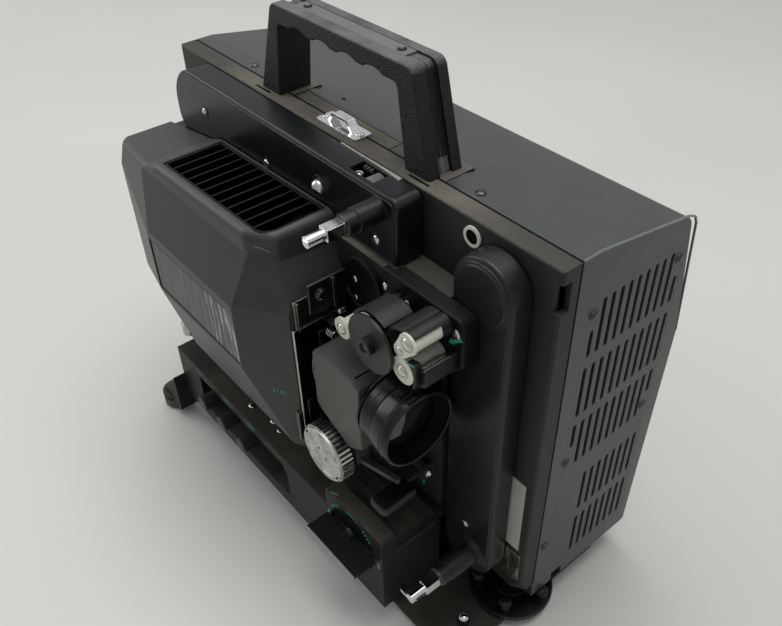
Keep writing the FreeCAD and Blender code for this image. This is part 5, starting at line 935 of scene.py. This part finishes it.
def make_gate():
    """Polished edges of the gate, the springs behind it and the lens block's side spring."""
    edges = Stock()
    edges.block(GATE_X - 0.1, GATE_X + 2.1, GATE_FRONT_Y - 0.25, GATE_FRONT_Y + 0.15, GATE_BOTTOM_Z,
                GATE_TOP_Z)
    edges.block(GATE_X - 0.1, GATE_X + 2.1, GATE_FRONT_Y, -42.0, GATE_TOP_Z - 0.15, GATE_TOP_Z + 0.25)
    edges.block(GATE_X - 0.1, GATE_X + 1.3, -84.9, -84.5, GATE_TOP_Z, 264.0)
    edges.block(GATE_X + 2.0, GATE_X + 3.1, -84.4, -84.0, 134.0, GATE_BOTTOM_Z)
    fit(edges.soften(0.1, 1).cast("gate_edges", bright_steel), BODY, "steel")
    springs = Stock()
    for side in (-1, 1):
        springs.coil((GATE_X + 4.6, LENS_Y, LENS_Z + side * 21.0), FORWARD, 2.9, 0.45, 1.5, 5)
    fit(springs.cast("pressure_springs", screw_steel), "gate_carrier", "steel")
    bow = [(0, -11), (-1.6, -6), (-2.2, 0), (-1.6, 6), (0, 11), (0.7, 11), (-0.9, 6), (-1.5, 0), (-0.9, -6),
           (0.7, -11)]
    leaf = Stock().prism(bow, (60.4, -74.0, 212.0), FORWARD, UP, 7.0)
    fit(leaf.soften(0.15, 1).cast("lens_leaf_spring", bright_steel), "gate_carrier", "steel")
    posts = Stock()
    for x, y, z, radius in ((58.0, -52.0, 247.0, 2.2), (62.5, -46.0, 240.0, 1.6), (57.5, -60.0, 150.0, 1.4)):
        posts.lathe([(0, 0), (0, radius), (4.2, radius), (5.0, radius * 0.7), (5.0, 0)], (x, y, z), OUT, 24)
    posts.coil((56.0, -70.0, 139.0), UP, 1.6, 0.4, 1.3, 9)
    posts.block(52.6, 63.0, -66.0, -58.0, 243.2, 244.2)
    fit(posts.cast("gate_posts", screw_steel), BODY, "steel")
    trim = Stock()
    trim.block(50.5, 52.1, -74.25, -73.95, 250.0, 273.0)
    trim.block(52.1, 55.5, -57.2, -56.9, 250.0, 273.0)
    trim.lathe([(0, 0), (0, 3.4), (0.9, 3.4), (1.3, 2.8), (1.3, 0)], (53.2, -65.0, 263.0), FORWARD, 32)
    fit(trim.cast("guide_trim", dark_steel), BODY, "steel")


def make_sprocket_face():
    """Ring round the sprocket's hub and the raised disc behind it."""
    ring = [(-0.2, 3.4), (-0.2, 5.9), (0.5, 5.9), (0.9, 5.3), (0.9, 4.1), (0.3, 3.4)]
    hub = Stock().lathe(ring, (SPROCKET_X, -79.0, SPROCKET_Z), OUT, 48)
    fit(hub.cast("sprocket_hub_ring", lens_black), "film_sprocket", "black_plastic")
    plate = [(0.2, 5.8), (0.2, 18.4), (0.4, 18.9), (0.4, 19.8), (-1.9, 19.8), (-1.9, 5.8)]
    disc = Stock().lathe(plate, (SPROCKET_X, -75.0, SPROCKET_Z), OUT, 96)
    fit(disc.cast("sprocket_disc", disc_grey), "film_sprocket", "black_plastic")


def make_film_path_trim():
    """Hood over the keeper roller, the shoe's front ear and its ribbed steel top."""
    keeper = (KEEPER_X, KEEPER_Z)
    hood = Stock().prism(arc_band(6.35, 7.7, 168, 47, keeper), (0, -52.0, 0), FORWARD, UP, 18.9)
    hood.prism(arc_band(6.3, 6.9, 0, 359.9, keeper, 40), (0, -44.7, 0), FORWARD, UP, 7.0)
    fit(hood.soften(0.3, 1).cast("keeper_hood", hood_paint), BODY, "black_plastic")
    ear = [(145.2, 273.9), (151.9, 275.8), (152.4, 274.6), (152.0, 261.8), (151.0, 256.2), (149.3, 256.6),
           (150.6, 260.6), (150.9, 264.2), (150.1, 268.3), (148.3, 271.7)]
    shoe = Stock().prism(ear, (0, -68.1, 0), FORWARD, UP, 3.9).soften(0.25, 2)
    fit(shoe.cast("shoe_ear", hood_paint), BODY, "black_plastic")
    slope = (0.88, 0, 0.475)
    ribs = Stock()
    for along in (-2.4, -1.1, 0.2, 1.5):
        outline = [(along, 0), (along + 0.75, 0), (along + 0.75, 17.0), (along, 17.0)]
        ribs.prism(outline, SHOE_TOP, slope, BACK, 0.3)
    fit(ribs.soften(0.1, 1).cast("shoe_ribs", strip_steel), BODY, "steel")
    lip = Stock().prism([(3.0, 0), (3.7, 0), (3.7, 16.5), (3.0, 16.5)], SHOE_TOP, slope, BACK, 0.45)
    fit(lip.soften(0.12, 1).cast("shoe_lip", bright_steel), BODY, "steel")


def make_control_trim():
    """Grip on the loop lever, the paddle's smooth nose and the lever's end nut."""
    pad = [(LEVER_X - 7.4, -84.9, 3.4), (LEVER_X + 7.4, -84.9, 3.4), (LEVER_X + 6.6, -57.2, 1.6),
           (LEVER_X - 7.4, -57.2, 1.6)]
    grip = Stock().prism(rounded(pad), (0, 0, LEVER_Z + 2.3), FORWARD, BACK, 1.1).soften(0.5, 3)
    fit(grip.cast("lever_grip", lever_skin), "loop_setter", "black_plastic")
    half = 28.5
    corners = [(DIAL_X - half, 75.4, 2.0), (DIAL_X - half, 80.9, 0.5), (DIAL_X + half, 80.9, 0.5),
               (DIAL_X + half, 75.6, 1.5), (DIAL_X + 8.5, 73.0, 6.0), (DIAL_X - 11.4, 73.0, 6.0)]
    nose = Stock().prism(rounded(corners), (0, -110.0, 0), FORWARD, UP, 0.5).soften(0.2, 1)
    fit(nose.cast("paddle_nose", nose_grey), "mode_selector", "black_plastic")
    profile = [(0, 0), (0, 3.6), (1.0, 3.7), (1.6, 3.0), (3.0, 2.0), (3.2, 0)]
    nut = Stock().lathe(profile, (LEVER_X + 0.4, -39.5, LEVER_Z), FORWARD, 6)
    fit(nut.soften(0.2, 1).cast("lever_nut", chrome), BODY, "chrome")


def make_casing_seam():
    """Black strips that paint the shade in the gap between the casting and the rear housing."""
    gap_shade = Stock()
    gap_shade.block(-196.6, FRONT_X - 0.4, -0.5, 1.0, DECK_Z - 1.0, DECK_Z + 0.06)
    gap_shade.block(FRONT_X - 0.8, FRONT_X + 0.04, -0.5, 1.0, 43.0, DECK_Z - 1.0)
    fit(gap_shade.cast("casing_joint", matt_black), BODY, "black_paint")


def make_handle_ends():
    """Three grey strips on each sloping end of the handle."""
    strips = Stock()
    for foot, head, turn in ((89.6, 73.6, 1), (-88.6, -66.6, -1)):
        inset = 2.2 * turn
        thick = 0.8 * turn
        outline = [(foot - inset, 338.3), (head - inset, 397.0), (head - inset - thick, 397.0),
                   (foot - inset - thick, 338.3)]
        for y0, y1 in ((2.4, 4.6), (5.0, 9.0), (9.4, 11.6)):
            strips.prism(outline, (0, y1, 0), FORWARD, UP, y1 - y0)
    fit(strips.soften(0.2, 1).cast("handle_end_panels", handle_panel), BODY, "handle_plastic")


def make_black_trim():
    """Black edges of the nameplate, the badge's and the deck's small discs, and the pads under the handle."""
    trim = Stock()
    trim.block(-105.6, -103.6, -109.6, -108.6, 200.0, 244.2)
    trim.block(-103.6, 10.8, -109.6, -109.2, 243.6, 244.4)
    trim.lathe([(0, 0), (0, 4.7), (0.35, 4.6), (0.35, 0)], (134.6, FACE_Y - 0.5, 326.5), OUT, 40)
    trim.lathe([(0, 0), (0, 1.9), (0.2, 1.8), (0.2, 0)], (-34.9, 24.3, 336.4), UP, 24)
    for x in (-84.0, 84.0):
        trim.block(x - 9.0, x + 9.0, -10.6, -8.8, DECK_Z - 0.2, DECK_Z + 0.06)
    fit(trim.cast("black_trim", matt_black), BODY, "black_paint")


def make_bright_edges():
    """Housing's rim bead, lighter than the housing as a painted highlight, the foot plate's domed pin and the
    lamp house's corner strip, a scuff that is partly a painted highlight.
    """
    edge = [(1.2, 338.2), (15.2, 338.2), (96.0, 324.7), (103.0, 321.6), (106.2, 315.6), (115.15, 227.0)]
    within = [(114.4, 226.9), (105.3, 315.3), (102.4, 320.9), (95.8, 323.8), (15.1, 337.4), (1.2, 337.4)]
    # The rim bead's lighter, glossy paint is a painted highlight line along the housing's edge.
    rim = Stock().prism(edge + within, (198.9, 0, 0), BACK, UP, 1.35)
    fit(rim.soften(0.25, 2).cast("housing_rim", rim_highlight_paint), BODY, "housing_paint")
    dome = arc((0, 0), 4.3, [math.radians(60 - 7.5 * k) for k in range(8)])
    pin = Stock().lathe([(1.2, 3.4)] + dome + [(4.3, 0), (1.2, 0)], (175.1, -44.5, 12.1), UP, 40)
    fit(pin.cast("plate_pin", chrome), "front_foot", "steel")
    # Pale strip on the lamp house's corner: a scuff that is partly a painted highlight.
    scuff_and_glint_edge = [(-0.3, 0.35), (5.4, -0.3), (11.3, -1.65), (11.3, -2.1), (5.4, -0.85), (-0.3, -0.2)]
    scuff_and_glint = Stock().prism(scuff_and_glint_edge, (19.9, -89.85, 294.2), (0.86, 0.51, 0), UP, 0.12)
    fit(scuff_and_glint.cast("worn_corner", nose_grey), BODY, "black_paint")


def make_arm_fittings():
    """Bright strip behind the take-up arm, the roller in its pocket and the feed arm's washer."""
    strip = Stock().prism([(16.0, -15.6), (16.0, -16.1), (54.0, -16.7), (76.0, -18.2), (76.0, -15.6)],
                          (0, 0, 336.0), FORWARD, BACK, 2.2)
    fit(strip.soften(0.15, 1).cast("arm_back_strip", bright_steel), "take_up_swing", "steel")
    roller = [(0, 0), (0, 4.8), (0.6, 5.4), (9.4, 5.4), (10.0, 4.8), (10.0, 0)]
    pocket = Stock().lathe(roller, (62.0, -30.4, 332.1), BACK, 40)
    for x in (47.0, 50.0, 53.0):
        pocket.block(x, x + 0.9, -22.0, -19.5, 334.0, 336.6)
    fit(pocket.soften(0.2, 1).cast("pocket_roller", handle_panel), "take_up_swing", "black_plastic")
    cup = Stock().lathe([(-0.3, 3.4), (0.2, 3.5), (0.45, 4.2), (0.2, 5.0), (-0.3, 5.1)], FEED_SCREW, OUT, 36)
    fit(cup.cast("feed_arm_washer", black_plastic), "feed_swing", "black_plastic")


make_screws()
make_arm_screw_seats()
make_knob_face()
make_knob_rim()
make_lens_barrel()
make_lens_elements()
make_direction_marks()
make_scale_ticks()
make_gate()
make_sprocket_face()
make_film_path_trim()
make_control_trim()
make_casing_seam()
make_handle_ends()
make_black_trim()
make_bright_edges()
make_arm_fittings()


def make_camera():
    """Camera at the photograph's viewpoint."""
    data = bpy.data.cameras.new("camera")
    data.sensor_width = 36.0
    data.lens = 37.99
    data.clip_start = 0.01
    data.clip_end = 50.0
    camera = add_object("camera", data)
    right = Vector((0.63813542, 0.76962151, -0.02158496))
    down = Vector((0.48439137, -0.42311127, -0.76572962))
    ahead = Vector((-0.59845483, 0.47818363, -0.64280031))
    turn = Matrix((right, -down, -ahead)).transposed()
    camera.matrix_world = Matrix.Translation(mm(401.3, -287.1, 590.4)) @ turn.to_4x4()
    bpy.context.scene.camera = camera


def make_floor():
    """Wide pale table top, a hair under the feet."""
    bpy.ops.mesh.primitive_circle_add(vertices=96, radius=6.0, fill_type="NGON", location=(0, 0, -0.0002))
    floor = bpy.context.object
    floor.name = "floor"
    made, tree, shader = start_material("pale_floor", Roughness=0.6)
    cloud = noise(tree, object_place(tree), 1.5, 2.0, 0.5)
    shade = ramp(tree, cloud, 0.3, 0.7, 0.96, 1.04)
    feed(tree, shader, Base_Color=shade_of(tree, (0.585, 0.575, 0.535), shade))
    floor.data.materials.append(made)


def make_light(name, place, aim, size, power, colour=(1.0, 1.0, 1.0)):
    data = bpy.data.lights.new(name, "AREA")
    data.shape = "RECTANGLE"
    data.size, data.size_y = size
    data.energy = power
    data.color = colour
    toward = (Vector(aim) - Vector(place)).to_track_quat("-Z", "Y")
    add_object(name, data).matrix_world = Matrix.Translation(place) @ toward.to_matrix().to_4x4()


def make_world():
    """Even room light, behind a background that pales upwards."""
    world = bpy.data.worlds.new("soft_room")
    bpy.context.scene.world = world
    world.use_nodes = True
    tree = world.node_tree
    tree.nodes.clear()
    room = feed(tree, node(tree, "ShaderNodeBackground"), Color=(0.92, 0.96, 1.0, 1.0), Strength=0.45)
    height = part_of(tree, node(tree, "ShaderNodeTexCoord").outputs["Generated"], "Z")
    seen = feed(tree, node(tree, "ShaderNodeBackground"), Color=(0.97, 0.98, 1.0, 1.0),
                Strength=ramp(tree, height, 0.0, 0.8, 0.42, 0.62))
    path = node(tree, "ShaderNodeLightPath").outputs
    direct = math_node(tree, "MAXIMUM", path["Is Camera Ray"], path["Is Glossy Ray"])
    direct = math_node(tree, "MAXIMUM", direct, path["Is Transmission Ray"])
    mixed = node(tree, "ShaderNodeMixShader")
    for index, value in enumerate((direct, room.outputs[0], seen.outputs[0])):
        put(tree, value, mixed.inputs[index])
    put(tree, mixed.outputs[0], node(tree, "ShaderNodeOutputWorld").inputs[0])


make_camera()
make_floor()
make_world()
make_light("softbox_above", (-0.05, 0.25, 2.2), (0.0, 0.0, 0.2), (1.8, 1.4), 34.0)
make_light("window_left", (-2.0, -1.0, 1.3), (0.0, 0.0, 0.2), (1.2, 1.6), 16.0, (0.96, 0.98, 1.0))
bpy.context.scene.view_settings.view_transform = "Standard"
